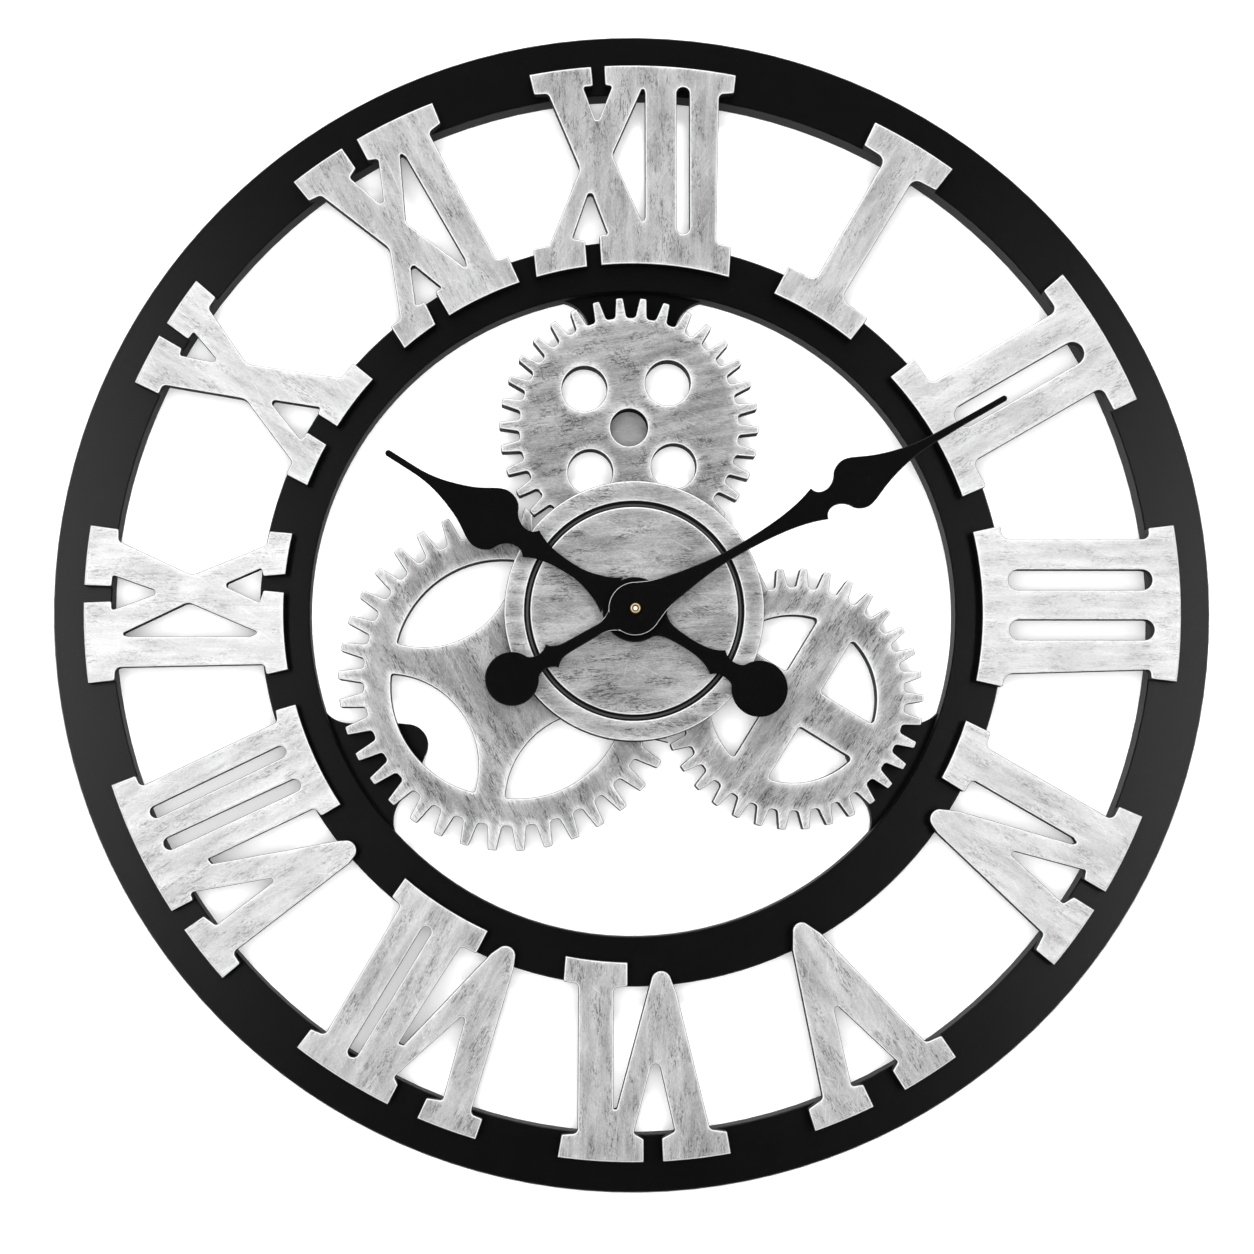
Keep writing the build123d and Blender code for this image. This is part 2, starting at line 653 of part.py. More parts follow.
with BuildPart() as movement_cover:
    with BuildSketch(level(case_back)):
        RectangleRounded(case_size, case_size, 2.5)
        with Locations((0, (bay_top + bay_bottom) / 2)):
            RectangleRounded(2 * inner_half - 1, bay_top - bay_bottom, 1, mode=Mode.SUBTRACT)
        with Locations(setting_arbor):
            Circle(setting_hole_radius, mode=Mode.SUBTRACT)
    extrude(amount=cover_depth)
    with BuildSketch(level(cover_front - pivot_depth)):
        with Locations(*all_arbors[:-1]):
            Circle(pivot_hole_radius)
        Circle(arbor_foot_radius + 0.06)
    extrude(amount=pivot_depth, mode=Mode.SUBTRACT)
save(movement_cover.part, "movement_cover")


def wheel_corners(teeth, module, addendum, dedendum, phase):
    """Closed corner list of a small wheel: involute flanks, one tooth centred on the phase.

    Angles here run anticlockwise from +x.  The flanks are thinned for backlash."""
    pressure = radians(20)
    pitch_radius = module * teeth / 2
    base_radius = pitch_radius * cos(pressure)
    tip_radius = pitch_radius + addendum * module
    root_radius = pitch_radius - dedendum * module
    half_pitch_tooth = 0.39 * pi / teeth

    def half_angle(radius):
        if radius <= base_radius:
            return half_pitch_tooth + tan(pressure) - pressure
        slope = acos(base_radius / radius)
        return half_pitch_tooth + (tan(pressure) - pressure) - (tan(slope) - slope)

    flank = [root_radius, max(root_radius + 0.01, base_radius), pitch_radius, tip_radius]
    if flank[1] >= flank[2]:
        flank = [root_radius, pitch_radius, tip_radius]
    points = []
    for i in range(teeth):
        middle = radians(phase) + 2 * pi * i / teeth
        for radius in flank:
            a = middle - half_angle(radius)
            points.append((radius * cos(a), radius * sin(a)))
        for radius in reversed(flank):
            a = middle + half_angle(radius)
            points.append((radius * cos(a), radius * sin(a)))
    return points


pinion_addendum = 0.8
pinion_dedendum = 0.9
wheel_addendum = 0.55
wheel_dedendum = 1.15


def toothed_disc(place, layer, teeth, module, phase, pinion=False):
    """Add one toothed disc to the open part, in a layer and at an arbor."""
    addendum = pinion_addendum if pinion else wheel_addendum
    dedendum = pinion_dedendum if pinion else wheel_dedendum
    points = wheel_corners(teeth, module, addendum, dedendum, phase)
    with BuildSketch(level(layer[0])) as blank:
        with Locations(place):
            Polygon(*points, align=None)
    extrude(blank.sketch, amount=layer[1])


def rod(place, start, end, radius, mode=Mode.ADD):
    """Add or cut a round rod between two heights."""
    with BuildSketch(level(start)) as section:
        with Locations(place):
            Circle(radius)
    extrude(section.sketch, amount=end - start, mode=mode)


def direction(first, second):
    """Angle in degrees from +x of the line between two arbors."""
    return degrees(atan2(second[1] - first[1], second[0] - first[0]))


def meshing_phase(driver, driver_teeth, driver_phase, follower, follower_teeth):
    """Tooth angle that puts the follower's gap on the driver's tooth."""
    beta = direction(driver, follower)
    share = (beta - driver_phase) * driver_teeth / 360
    return beta + 180 - (360 / follower_teeth) * (0.5 - share)


centre = (0.0, 0.0)
arbor_back = cover_front - pivot_depth + 0.1
arbor_front = front_wall + pivot_depth - 0.1
motion_module = 0.5
hour_module = 0.48
train_module = 0.3
second_module = 0.36
rotor_module = 0.25

motion_phase = meshing_phase(centre, 12, 0, motion_arbor, 36)
hour_phase = meshing_phase(motion_arbor, 10, 0, centre, 40)
setting_phase = meshing_phase(motion_arbor, 36, motion_phase, setting_arbor, 12)
intermediate_phase = meshing_phase(rotor_arbor, 8, 0, intermediate_arbor, 60)
second_phase = meshing_phase(intermediate_arbor, 10, 0, second_arbor, 40)
third_phase = meshing_phase(second_arbor, 8, 0, third_arbor, 60)
centre_phase = meshing_phase(third_arbor, 8, 0, centre, 64)

with BuildPart() as minute_arbor:
    rod(centre, arbor_back, 11.8, arbor_foot_radius)
    rod(centre, 11.8, 13.0, 1.0)
    rod(centre, 13.0, layer_b[0], 1.5)
    toothed_disc(centre, layer_b, 12, motion_module, 0, pinion=True)
    rod(centre, layer_b[0] + layer_b[1], minute_hand_back, minute_arbor_radius)
    rod(centre, minute_hand_back, 39.4, 1.35)
save(minute_arbor.part, "minute_arbor")

with BuildPart() as hour_wheel:
    toothed_disc(centre, layer_a, 40, hour_module, hour_phase)
    rod(centre, layer_a[0], hour_hand_back + hand_depth + 0.3, hour_tube_radius)
    rod(centre, layer_a[0], hour_hand_back + hand_depth + 0.3, hour_tube_bore, mode=Mode.SUBTRACT)
save(hour_wheel.part, "hour_wheel")

with BuildPart() as motion_wheel:
    rod(motion_arbor, arbor_back, arbor_front, pivot_radius)
    toothed_disc(motion_arbor, layer_b, 36, motion_module, motion_phase)
    toothed_disc(motion_arbor, (layer_b[0] + layer_b[1], 2.0), 10, hour_module, 0, pinion=True)
save(motion_wheel.part, "motion_wheel")

with BuildPart() as setting_knob:
    rod(setting_arbor, 1.5, 4.4, 5.5)
    with BuildSketch(level(1.5)):
        with Locations(setting_arbor):
            with PolarLocations(5.6, 20):
                Circle(0.45)
    extrude(amount=2.9, mode=Mode.SUBTRACT)
    rod(setting_arbor, 4.4, layer_b[0] + layer_b[1], 1.5)
    toothed_disc(setting_arbor, layer_b, 12, motion_module, setting_phase, pinion=True)
    rod(setting_arbor, layer_b[0] + layer_b[1], arbor_front, pivot_radius)
save(setting_knob.part, "setting_knob")

with BuildPart() as centre_wheel:
    toothed_disc(centre, layer_c, 64, train_module, centre_phase)
    rod(centre, layer_c[0], layer_c[0] + layer_c[1], 1.06, mode=Mode.SUBTRACT)
    with BuildSketch(level(layer_c[0])):
        with PolarLocations(5.2, 4):
            Circle(2.4)
    extrude(amount=layer_c[1], mode=Mode.SUBTRACT)
save(centre_wheel.part, "centre_wheel")

with BuildPart() as third_wheel:
    rod(third_arbor, arbor_back, arbor_front, pivot_radius)
    toothed_disc(third_arbor, layer_d, 60, train_module, third_phase)
    toothed_disc(third_arbor, (layer_d[0] + layer_d[1], 2.4), 8, train_module, 0, pinion=True)
save(third_wheel.part, "third_wheel")

with BuildPart() as second_wheel:
    rod(second_arbor, arbor_back, arbor_front, pivot_radius)
    toothed_disc(second_arbor, layer_e, 40, second_module, second_phase)
    toothed_disc(second_arbor, (layer_e[0] + layer_e[1], 2.2), 8, train_module, 0, pinion=True)
save(second_wheel.part, "second_wheel")

with BuildPart() as intermediate_wheel:
    rod(intermediate_arbor, arbor_back, arbor_front, pivot_radius)
    toothed_disc(intermediate_arbor, layer_f, 60, rotor_module, intermediate_phase)
    toothed_disc(intermediate_arbor, (layer_f[0] + layer_f[1], 1.8), 10, second_module, 0, pinion=True)
save(intermediate_wheel.part, "intermediate_wheel")

magnet_radius = 2.8
magnet_back = 8.3

with BuildPart() as rotor:
    rod(rotor_arbor, arbor_back, arbor_front, pivot_radius)
    toothed_disc(rotor_arbor, (6.9, 1.2), 8, rotor_module, 0, pinion=True)
    rod(rotor_arbor, magnet_back, 11.5, magnet_radius)
save(rotor.part, "rotor")

stator_back = 8.7
stator_depth = 0.6
coil_z = 22.0
coil_height = 12.2

with BuildPart() as stator:
    with BuildSketch(level(stator_back)):
        with BuildLine():
            Polyline(
                (-25.5, 18.6), (-21.8, 18.6), (-21.8, 25.4), (-25.5, 25.4), close=True
            )
        make_face()
        with BuildLine():
            Polyline(
                (-12.2, 19.6), (-8.5, 17.2), (0.4, 17.2), (0.4, 25.4), (-12.2, 25.4), close=True
            )
        make_face()
        with BuildLine():
            Polyline((-25.5, 18.6), (-25.5, 20), (-8, 20), (-8, 18.6), close=True)
        make_face()
        with Locations(rotor_arbor):
            Circle(magnet_radius + 0.5, mode=Mode.SUBTRACT)
    extrude(amount=stator_depth)
save(stator.part, "stator")

with BuildPart() as coil_core:
    with BuildSketch(level(coil_height - 0.6)):
        with Locations(((-25.2 - 9.2) / 2, coil_z)):
            Rectangle(16, 1.6)
    extrude(amount=1.2)
    for x in (-24.4, -10.0):
        with BuildSketch(level(stator_back + stator_depth)):
            with Locations((x, coil_z)):
                Rectangle(1.6, 3.2)
        extrude(amount=coil_height + 0.6 - stator_back - stator_depth)
save(coil_core.part, "coil_core")

with BuildPart() as coil_winding:
    with BuildSketch(Plane(origin=(-23.3, -coil_height, coil_z - hang_height), x_dir=(0, 1, 0), z_dir=(1, 0, 0))):
        Circle(2.7)
        Rectangle(1.3, 1.7, mode=Mode.SUBTRACT)
    extrude(amount=12.2)
save(coil_winding.part, "coil_winding")

board_front = 8.6

with BuildPart() as circuit_board:
    with BuildSketch(level(7.6)):
        with Locations((-18.6, -4.6)):
            Rectangle(14.2, 11.4)
    extrude(amount=board_front - 7.6)
    with BuildSketch(level(board_front)):
        with Locations((-21.5, -5.5)):
            Circle(2.6)
    extrude(amount=1.0)
    fillet(circuit_board.faces().sort_by(Axis.Y)[0].edges(), 0.6)
save(circuit_board.part, "circuit_board")

with BuildPart() as quartz_crystal:
    with BuildSketch(Plane(origin=(-14.5, -(board_front + 1.05), -8.0 - hang_height), x_dir=(1, 0, 0), z_dir=(0, 0, 1))):
        Circle(1.0)
    extrude(amount=6.2)
    chamfer(quartz_crystal.faces().sort_by(Axis.Z)[-1].edges(), 0.3)
save(quartz_crystal.part, "quartz_crystal")

# ------------------------------------------------------------------- battery

battery_length = 50.0
battery_left = -24.6


def across(x):
    """Sketch plane across the battery, looking along +X, centred on its axis."""
    return Plane(
        origin=(x, -battery_height, battery_z - hang_height), x_dir=(0, 1, 0), z_dir=(1, 0, 0)
    )


with BuildPart() as battery:
    with BuildSketch(across(battery_left)):
        Circle(battery_radius)
    extrude(amount=battery_length - 1.4)
    fillet(battery.edges().filter_by(GeomType.CIRCLE), 0.6)
    with BuildSketch(across(battery_left + battery_length - 1.4)):
        Circle(2.7)
    extrude(amount=1.4)
save(battery.part, "battery")

with BuildPart() as contact_positive:
    with BuildSketch(across(battery_left + battery_length + 0.45)):
        RectangleRounded(9, 12, 1)
    extrude(amount=0.4)
save(contact_positive.part, "contact_positive")

with BuildPart() as contact_negative:
    with BuildSketch(across(-26.4)):
        RectangleRounded(9, 12, 1)
    extrude(amount=0.4)
    with BuildSketch(across(-26.0)):
        Circle(3.2)
    extrude(amount=1.0, taper=30)
save(contact_negative.part, "contact_negative")

# ------------------------------------------------- bush, washers, nut, hands

with BuildPart() as threaded_bush:
    rod(centre, front_wall, bush_end, bush_radius)
    chamfer(threaded_bush.faces().sort_by(Axis.Y)[0].edges(), 0.4)
    for i in range(6):
        start = disc_front + 0.7 + 0.5 * i
        with BuildSketch(level(start)):
            Circle(bush_radius + 0.1)
            Circle(bush_radius - 0.18, mode=Mode.SUBTRACT)
        extrude(amount=0.25, mode=Mode.SUBTRACT)
    rod(centre, front_wall, bush_end, bush_bore, mode=Mode.SUBTRACT)
save(threaded_bush.part, "threaded_bush")

with BuildPart() as rubber_washer:
    with BuildSketch(level(case_front)):
        Circle(9)
        Circle(bush_radius + 0.1, mode=Mode.SUBTRACT)
    extrude(amount=pocket_floor - case_front)
save(rubber_washer.part, "rubber_washer")

with BuildPart() as brass_washer:
    with BuildSketch(level(disc_front)):
        Circle(7.5)
        Circle(bush_radius + 0.1, mode=Mode.SUBTRACT)
    extrude(amount=0.5)
save(brass_washer.part, "brass_washer")

with BuildPart() as hex_nut:
    with BuildSketch(level(disc_front + 0.5)):
        RegularPolygon(5.5, 6, major_radius=False)
        Circle(bush_radius + 0.05, mode=Mode.SUBTRACT)
    extrude(amount=2.2)
save(hex_nut.part, "hex_nut")


def half_blade(points, ends):
    """Right-hand half outline of a hand: smooth runs between listed corner points."""
    run = [points[0]]
    for point in points[1:]:
        run.append(point)
        if point in ends:
            if len(run) == 2:
                Line(run[0], run[1])
            else:
                Spline(*run)
            run = [point]
    if len(run) == 2:
        Line(run[0], run[1])
    elif len(run) > 2:
        Spline(*run)


def scaled(points, factor):
    """Half widths and stations multiplied by one factor."""
    return [(p[0] * factor, p[1] * factor) for p in points]


minute_scale = 0.981
hour_scale = 0.984

# (half width, distance from the arbor), from the tip down to the hub
minute_blade = scaled(
    [
        (1.5, 213.0), (1.6, 190.0), (2.1, 172.0), (3.1, 160.0), (5.3, 150.0), (9.5, 138.0),
        (12.2, 132.0), (13.3, 127.5), (12.2, 123.0), (9.7, 120.0), (6.2, 117.0),
        (4.5, 112.5), (5.1, 109.2), (8.9, 106.4), (6.7, 100.0), (4.5, 90.0), (3.0, 77.0),
        (2.35, 62.0), (2.7, 47.5), (4.4, 33.0), (6.6, 21.0), (8.9, 12.5), (11.6, 6.5),
    ],
    minute_scale,
)
minute_blade_ends = scaled([(1.6, 190.0), (9.7, 120.0), (8.9, 106.4), (8.9, 12.5)], minute_scale)
minute_tail = scaled(
    [
        (6.0, -12.0), (3.3, -17.0), (2.7, -27.0), (2.8, -38.0), (4.2, -45.0), (6.8, -47.8),
        (4.7, -50.5), (4.1, -54.0), (4.9, -57.4), (7.2, -59.9),
    ],
    minute_scale,
)
minute_tail_ends = scaled([(6.8, -47.8)], minute_scale)
minute_weight = (71.0 * minute_scale, 13.5 * minute_scale)

hour_blade = scaled(
    [
        (1.6, 146.0), (1.65, 130.0), (3.0, 118.0), (6.6, 106.0), (10.7, 97.0), (14.4, 91.0),
        (16.3, 85.5), (15.3, 80.2), (11.6, 76.2), (6.8, 72.6), (4.9, 67.5), (5.4, 64.4),
        (7.9, 61.6), (5.6, 57.0), (3.8, 50.5), (2.9, 40.0), (3.2, 32.0), (4.9, 25.0),
        (7.7, 18.0), (10.6, 13.5),
    ],
    hour_scale,
)
hour_blade_ends = scaled([(1.65, 130.0), (11.6, 76.2), (7.9, 61.6)], hour_scale)
hour_tail = scaled(
    [
        (7.6, -14.0), (4.2, -18.5), (2.9, -26.0), (2.8, -35.0), (4.2, -43.5), (7.2, -49.2),
        (4.9, -52.5), (4.4, -56.5), (5.2, -60.0), (7.0, -62.0),
    ],
    hour_scale,
)
hour_tail_ends = scaled([(7.2, -49.2)], hour_scale)
hour_weight = (74.0 * hour_scale, 14.1 * hour_scale)


def hand_sketch(blade, blade_ends, tail, tail_ends, weight, hub_radius):
    """Face of a hand pointing at twelve: blade, horned collars, hub, tail and round weight."""
    with BuildLine() as outline:
        half_blade(blade, blade_ends)
        ThreePointArc(blade[0], (0, blade[0][1] + blade[0][0]), (-blade[0][0], blade[0][1]))
        mirror(about=Plane.YZ)
        Line((-blade[-1][0], blade[-1][1]), blade[-1])
    make_face(outline.edges())
    with BuildLine() as tail_line:
        half_blade(tail, tail_ends)
        mirror(about=Plane.YZ)
        Line((-tail[-1][0], tail[-1][1]), tail[-1])
        Line((-tail[0][0], tail[0][1]), tail[0])
    make_face(tail_line.edges())
    Circle(hub_radius)
    with Locations((0, -weight[0])):
        Circle(weight[1])


with BuildPart() as hour_hand:
    with BuildSketch(clock_plane(hour_hand_back, hour_angle)):
        hand_sketch(hour_blade, hour_blade_ends, hour_tail, hour_tail_ends, hour_weight, 16.0)
        Circle(hour_tube_radius + 0.03, mode=Mode.SUBTRACT)
    extrude(amount=hand_depth)
save(hour_hand.part, "hour_hand")

with BuildPart() as minute_hand:
    with BuildSketch(clock_plane(minute_hand_back, minute_angle)):
        hand_sketch(minute_blade, minute_blade_ends, minute_tail, minute_tail_ends, minute_weight, 13.1)
        Circle(1.38, mode=Mode.SUBTRACT)
    extrude(amount=hand_depth)
save(minute_hand.part, "minute_hand")

with BuildPart() as cap_nut:
    with BuildSketch(level(minute_hand_back + hand_depth)):
        Circle(2.75)
        Circle(1.4, mode=Mode.SUBTRACT)
    extrude(amount=2.7)
    fillet(cap_nut.faces().sort_by(Axis.Y)[0].edges().sort_by(SortBy.LENGTH)[-1], 0.9)
save(cap_nut.part, "cap_nut")

# ------------------------------------------------------ fixings and the hanger

def cut_hanger_seats():
    """Countersunk seats for the two screws of the keyhole plate."""
    for p in hanger_screw_points:
        place = level(0).location * Location((p[0], p[1], 0))
        with Locations(place):
            Cone(
                2.8, 1.4, hanger_plate_depth,
                align=(Align.CENTER, Align.CENTER, Align.MIN), mode=Mode.SUBTRACT,
            )


with BuildPart() as hanger_plate:
    with BuildSketch(level(0)):
        with Locations((0, hang_height - 4)):
            RectangleRounded(hanger_size[0], hanger_size[1], 4)
        with Locations((0, hang_height - keyhole_drop)):
            Circle(keyhole_entry_radius, mode=Mode.SUBTRACT)
        slot_between(
            (0, hang_height - keyhole_drop), (0, hang_height + keyhole_slot_width / 2),
            keyhole_slot_width, mode=Mode.SUBTRACT,
        )
    extrude(amount=hanger_plate_depth)
    cut_hanger_seats()
save(hanger_plate.part, "hanger_plate")

with BuildPart() as hanger_screws:
    add_screws(hanger_screw_points, 0.1, 8.5, hanger_screw_shank, 2.7, hanger_head_depth)
save(hanger_screws.part, "hanger_screws")

with BuildPart() as numeral_screws:
    add_screws(outer_screw_points + inner_screw_points, 0.2, 15.5)
save(numeral_screws.part, "numeral_screws")

with BuildPart() as gear_screws:
    add_screws(tab_screw_points, 0.2, 11.6)
save(gear_screws.part, "gear_screws")

with BuildPart() as housing_screws:
    add_screws(housing_screw_points, plate_back + 0.2, 17)
save(housing_screws.part, "housing_screws")
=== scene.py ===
import json
import math
import random

import bmesh
import bpy
import numpy as np
from mathutils import Matrix, Vector, geometry

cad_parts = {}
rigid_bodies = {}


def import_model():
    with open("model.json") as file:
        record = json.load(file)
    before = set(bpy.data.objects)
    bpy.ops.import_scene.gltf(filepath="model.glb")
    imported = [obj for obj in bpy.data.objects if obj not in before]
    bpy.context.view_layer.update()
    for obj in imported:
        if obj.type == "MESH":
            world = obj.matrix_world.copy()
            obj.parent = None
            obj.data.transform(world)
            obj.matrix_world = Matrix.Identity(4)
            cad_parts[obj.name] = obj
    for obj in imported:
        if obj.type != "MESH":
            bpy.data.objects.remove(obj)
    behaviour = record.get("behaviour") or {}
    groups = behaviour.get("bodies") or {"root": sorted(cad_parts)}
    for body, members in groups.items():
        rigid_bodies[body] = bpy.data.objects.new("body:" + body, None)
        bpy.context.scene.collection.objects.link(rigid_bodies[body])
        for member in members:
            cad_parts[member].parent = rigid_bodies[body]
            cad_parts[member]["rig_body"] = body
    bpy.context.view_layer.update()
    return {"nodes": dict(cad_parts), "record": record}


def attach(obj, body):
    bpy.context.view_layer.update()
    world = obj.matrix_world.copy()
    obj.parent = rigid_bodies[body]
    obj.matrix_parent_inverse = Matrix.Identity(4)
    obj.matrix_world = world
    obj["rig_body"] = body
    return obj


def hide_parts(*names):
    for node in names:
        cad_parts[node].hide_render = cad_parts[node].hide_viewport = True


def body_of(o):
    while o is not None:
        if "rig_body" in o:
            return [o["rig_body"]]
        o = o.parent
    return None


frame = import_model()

scene = bpy.context.scene
nodes = frame["nodes"]
slots = {subpart["node"]: subpart["material_slot"] for subpart in frame["record"]["subparts"]}

DIAL_DROP = 0.278                          # the dial's centre below the wall screw, which is the origin
DIAL = Vector((0.0, 0.0, -DIAL_DROP))      # the dial's centre on the wall plane
SAME_POINT = 2e-6                          # points of the frame this near to each other are one

# The stage, in metres
WALL_Y = 0.0006            # the wall's face, just behind the boards' backs
WALL_SIDE = 2.2            # half its width
WALL_TOP = 1.6
FLOOR_Z = -1.3
FLOOR_SIDE = 4.0           # half its width and depth

# The silver pieces, in millimetres
FRONT_SPACING = 1.4        # between the mesh points of a painted front
SAME_PLANE = 0.001         # a point this near the front's plane is on it
BEVEL = 0.5                # round every front's outline
RECESS = 1.0               # anything deeper under the front is near-black: bare board, and painted shade on the groove's floor towards its walls
GROOVE_RADIUS = 53.0       # middle of the groove between the disc's housing and its face

# The paler strip along the outlines of the silver pieces, in millimetres, and how much paler it is
NUMERAL_HALO_WIDTH = 3.2
NUMERAL_HALO = 0.13
PLATE_HALO_WIDTH = 4.5

# The paint patterns: first seeds, and how far each layer's pattern is from the one before
NUMERAL_SEED = 100
PLATE_SEED = 300
LAYER_STEP = 7.3

BLACK_TONE = 0.0008        # share of light that the black paint gives back

NUMERAL_STEP = 30.0        # degrees from one numeral to the next
NUMERALS = ["xii", "i", "ii", "iii", "iv", "v", "vi", "vii", "viii", "ix", "x", "xi"]


# ------------------------------------------------------------------ node trees

class Tree:
    """A material's node tree with one short call for each kind of node."""

    def __init__(self, name):
        self.material = bpy.data.materials.new(name)
        self.material.use_nodes = True
        self.nodes = self.material.node_tree.nodes
        self.links = self.material.node_tree.links
        self.nodes.clear()
        self.out = self.nodes.new("ShaderNodeOutputMaterial")

    def put(self, socket, value):
        """Link value to the socket where it is another socket, or set it where it is a number or a colour."""
        if isinstance(value, bpy.types.NodeSocket):
            self.links.new(value, socket)
        elif isinstance(value, (tuple, list)) and socket.type == "RGBA" and len(value) == 3:
            socket.default_value = (*value, 1.0)
        else:
            socket.default_value = value

    def math(self, operation, a, b=0.0):
        n = self.nodes.new("ShaderNodeMath")
        n.operation = operation
        self.put(n.inputs[0], a)
        self.put(n.inputs[1], b)
        return n.outputs[0]

    def add(self, a, b):
        return self.math("ADD", a, b)

    def sub(self, a, b):
        return self.math("SUBTRACT", a, b)

    def mul(self, a, b):
        return self.math("MULTIPLY", a, b)

    def absolute(self, a):
        return self.math("ABSOLUTE", a)

    def most(self, first, *others):
        """The largest of several values."""
        for other in others:
            first = self.math("MAXIMUM", first, other)
        return first

    def ramp(self, value, low, high, to_low=0.0, to_high=1.0):
        """A smooth change from to_low at low to to_high at high."""
        n = self.nodes.new("ShaderNodeMapRange")
        n.interpolation_type = "SMOOTHSTEP"
        self.put(n.inputs["Value"], value)
        self.put(n.inputs["From Min"], low)
        self.put(n.inputs["From Max"], high)
        self.put(n.inputs["To Min"], to_low)
        self.put(n.inputs["To Max"], to_high)
        return n.outputs["Result"]

    def fall(self, value, low, high):
        """1 up to low, 0 from high on."""
        return self.ramp(value, low, high, 1.0, 0.0)

    def between(self, value, start, full_from, full_to, end):
        """1 from full_from to full_to, 0 before start and after end."""
        return self.mul(self.ramp(value, start, full_from), self.fall(value, full_to, end))

    def swing(self, value, half):
        """A noise stretched about its middle to the full range -0.5 to 0.5."""
        return self.sub(self.ramp(value, 0.5 - half, 0.5 + half), 0.5)

    def lighten(self, tone, mask, amount):
        return self.add(tone, self.mul(mask, amount))

    def darken(self, tone, mask, share):
        """The tone with a share of it taken away where mask is 1."""
        return self.mul(tone, self.sub(1.0, self.mul(mask, share)))

    def mix(self, share, a, b):
        n = self.nodes.new("ShaderNodeMix")
        n.data_type = "FLOAT"
        self.put(n.inputs[0], share)
        self.put(n.inputs[2], a)
        self.put(n.inputs[3], b)
        return n.outputs[0]

    def mix_colour(self, share, a, b, blend="MIX"):
        n = self.nodes.new("ShaderNodeMix")
        n.data_type = "RGBA"
        n.blend_type = blend
        self.put(n.inputs[0], share)
        self.put(n.inputs[6], a)
        self.put(n.inputs[7], b)
        return n.outputs[2]

    def grey(self, value, tint=(1.0, 1.0, 1.0)):
        n = self.nodes.new("ShaderNodeCombineColor")
        for socket, part in zip(n.inputs, tint):
            self.put(socket, value if part == 1.0 else self.mul(value, part))
        return n.outputs[0]

    def xyz(self, vector):
        n = self.nodes.new("ShaderNodeSeparateXYZ")
        self.links.new(vector, n.inputs[0])
        return n.outputs

    def millimetres(self):
        """The surface point in the object's own frame, in millimetres from the dial centre."""
        c = self.nodes.new("ShaderNodeTexCoord")
        m = self.nodes.new("ShaderNodeMapping")
        m.inputs["Location"].default_value = (0.0, 0.0, 1000.0 * DIAL_DROP)
        m.inputs["Scale"].default_value = (1000.0, 1000.0, 1000.0)
        self.links.new(c.outputs["Object"], m.inputs["Vector"])
        return m.outputs[0]

    def facing(self):
        """The surface normal's share towards the viewer's side: 1 on a front, -1 on a back."""
        c = self.nodes.new("ShaderNodeTexCoord")
        return self.mul(self.xyz(c.outputs["Normal"])[1], -1.0)

    def on_back(self, facing):
        """1 on a back, 0 elsewhere."""
        return self.fall(facing, -0.8, -0.6)

    def turned(self, point, angle, scale, offset=(0.0, 0.0, 0.0)):
        """The point turned about the dial axis so that +Z lies along angle, clockwise from twelve, and then
        scaled and moved by offset."""
        r = self.nodes.new("ShaderNodeMapping")
        r.inputs["Rotation"].default_value = (0.0, -math.radians(angle), 0.0)
        self.links.new(point, r.inputs["Vector"])
        s = self.nodes.new("ShaderNodeMapping")
        s.inputs["Scale"].default_value = scale
        s.inputs["Location"].default_value = offset
        self.links.new(r.outputs[0], s.inputs["Vector"])
        return s.outputs[0]

    def from_axis(self, point):
        """The point's distance from the dial axis."""
        n = self.nodes.new("ShaderNodeVectorMath")
        n.operation = "LENGTH"
        self.links.new(self.turned(point, 0.0, (1.0, 0.0, 1.0)), n.inputs[0])
        return n.outputs["Value"]

    def noise(self, point, scale=1.0, detail=2.0, roughness=0.5, distortion=0.0):
        n = self.nodes.new("ShaderNodeTexNoise")
        self.put(n.inputs["Vector"], point)
        n.inputs["Scale"].default_value = scale
        n.inputs["Detail"].default_value = detail
        n.inputs["Roughness"].default_value = roughness
        n.inputs["Distortion"].default_value = distortion
        return n.outputs["Fac"]

    def attribute(self, name):
        n = self.nodes.new("ShaderNodeAttribute")
        n.attribute_name = name
        return n.outputs["Fac"]

    def bump(self, height, distance, strength):
        n = self.nodes.new("ShaderNodeBump")
        n.inputs["Strength"].default_value = strength
        n.inputs["Distance"].default_value = distance
        self.put(n.inputs["Height"], height)
        return n.outputs[0]

    def surface(self, colour, roughness, metallic, normal, **fixed):
        """The finished material; fixed sets other sockets of the shader by name."""
        n = self.nodes.new("ShaderNodeBsdfPrincipled")
        self.put(n.inputs["Base Color"], colour)
        self.put(n.inputs["Roughness"], roughness)
        self.put(n.inputs["Metallic"], metallic)
        self.links.new(normal, n.inputs["Normal"])
        for key, value in fixed.items():
            n.inputs[key.replace("_", " ")].default_value = value
        self.links.new(n.outputs[0], self.out.inputs[0])
        return self.material


# ---------------------------------------------------------------- painted boards

def board_back(t, p):
    """Tone of a board's back: thin charcoal primer with fibres and a little dust."""
    fibres = t.noise(t.turned(p, 20.0, (0.9, 0.0, 0.25)), 1.0, 4.0, 0.65, 1.2)
    worn = t.noise(p, 0.05, 3.0, 0.6)
    specks = t.ramp(t.noise(p, 1.4, 2.0, 0.5), 0.66, 0.72)
    tone = t.add(t.ramp(fibres, 0.3, 0.7, 0.026, 0.058), t.ramp(worn, 0.4, 0.7, 0.0, 0.020))
    return t.lighten(tone, specks, 0.06)


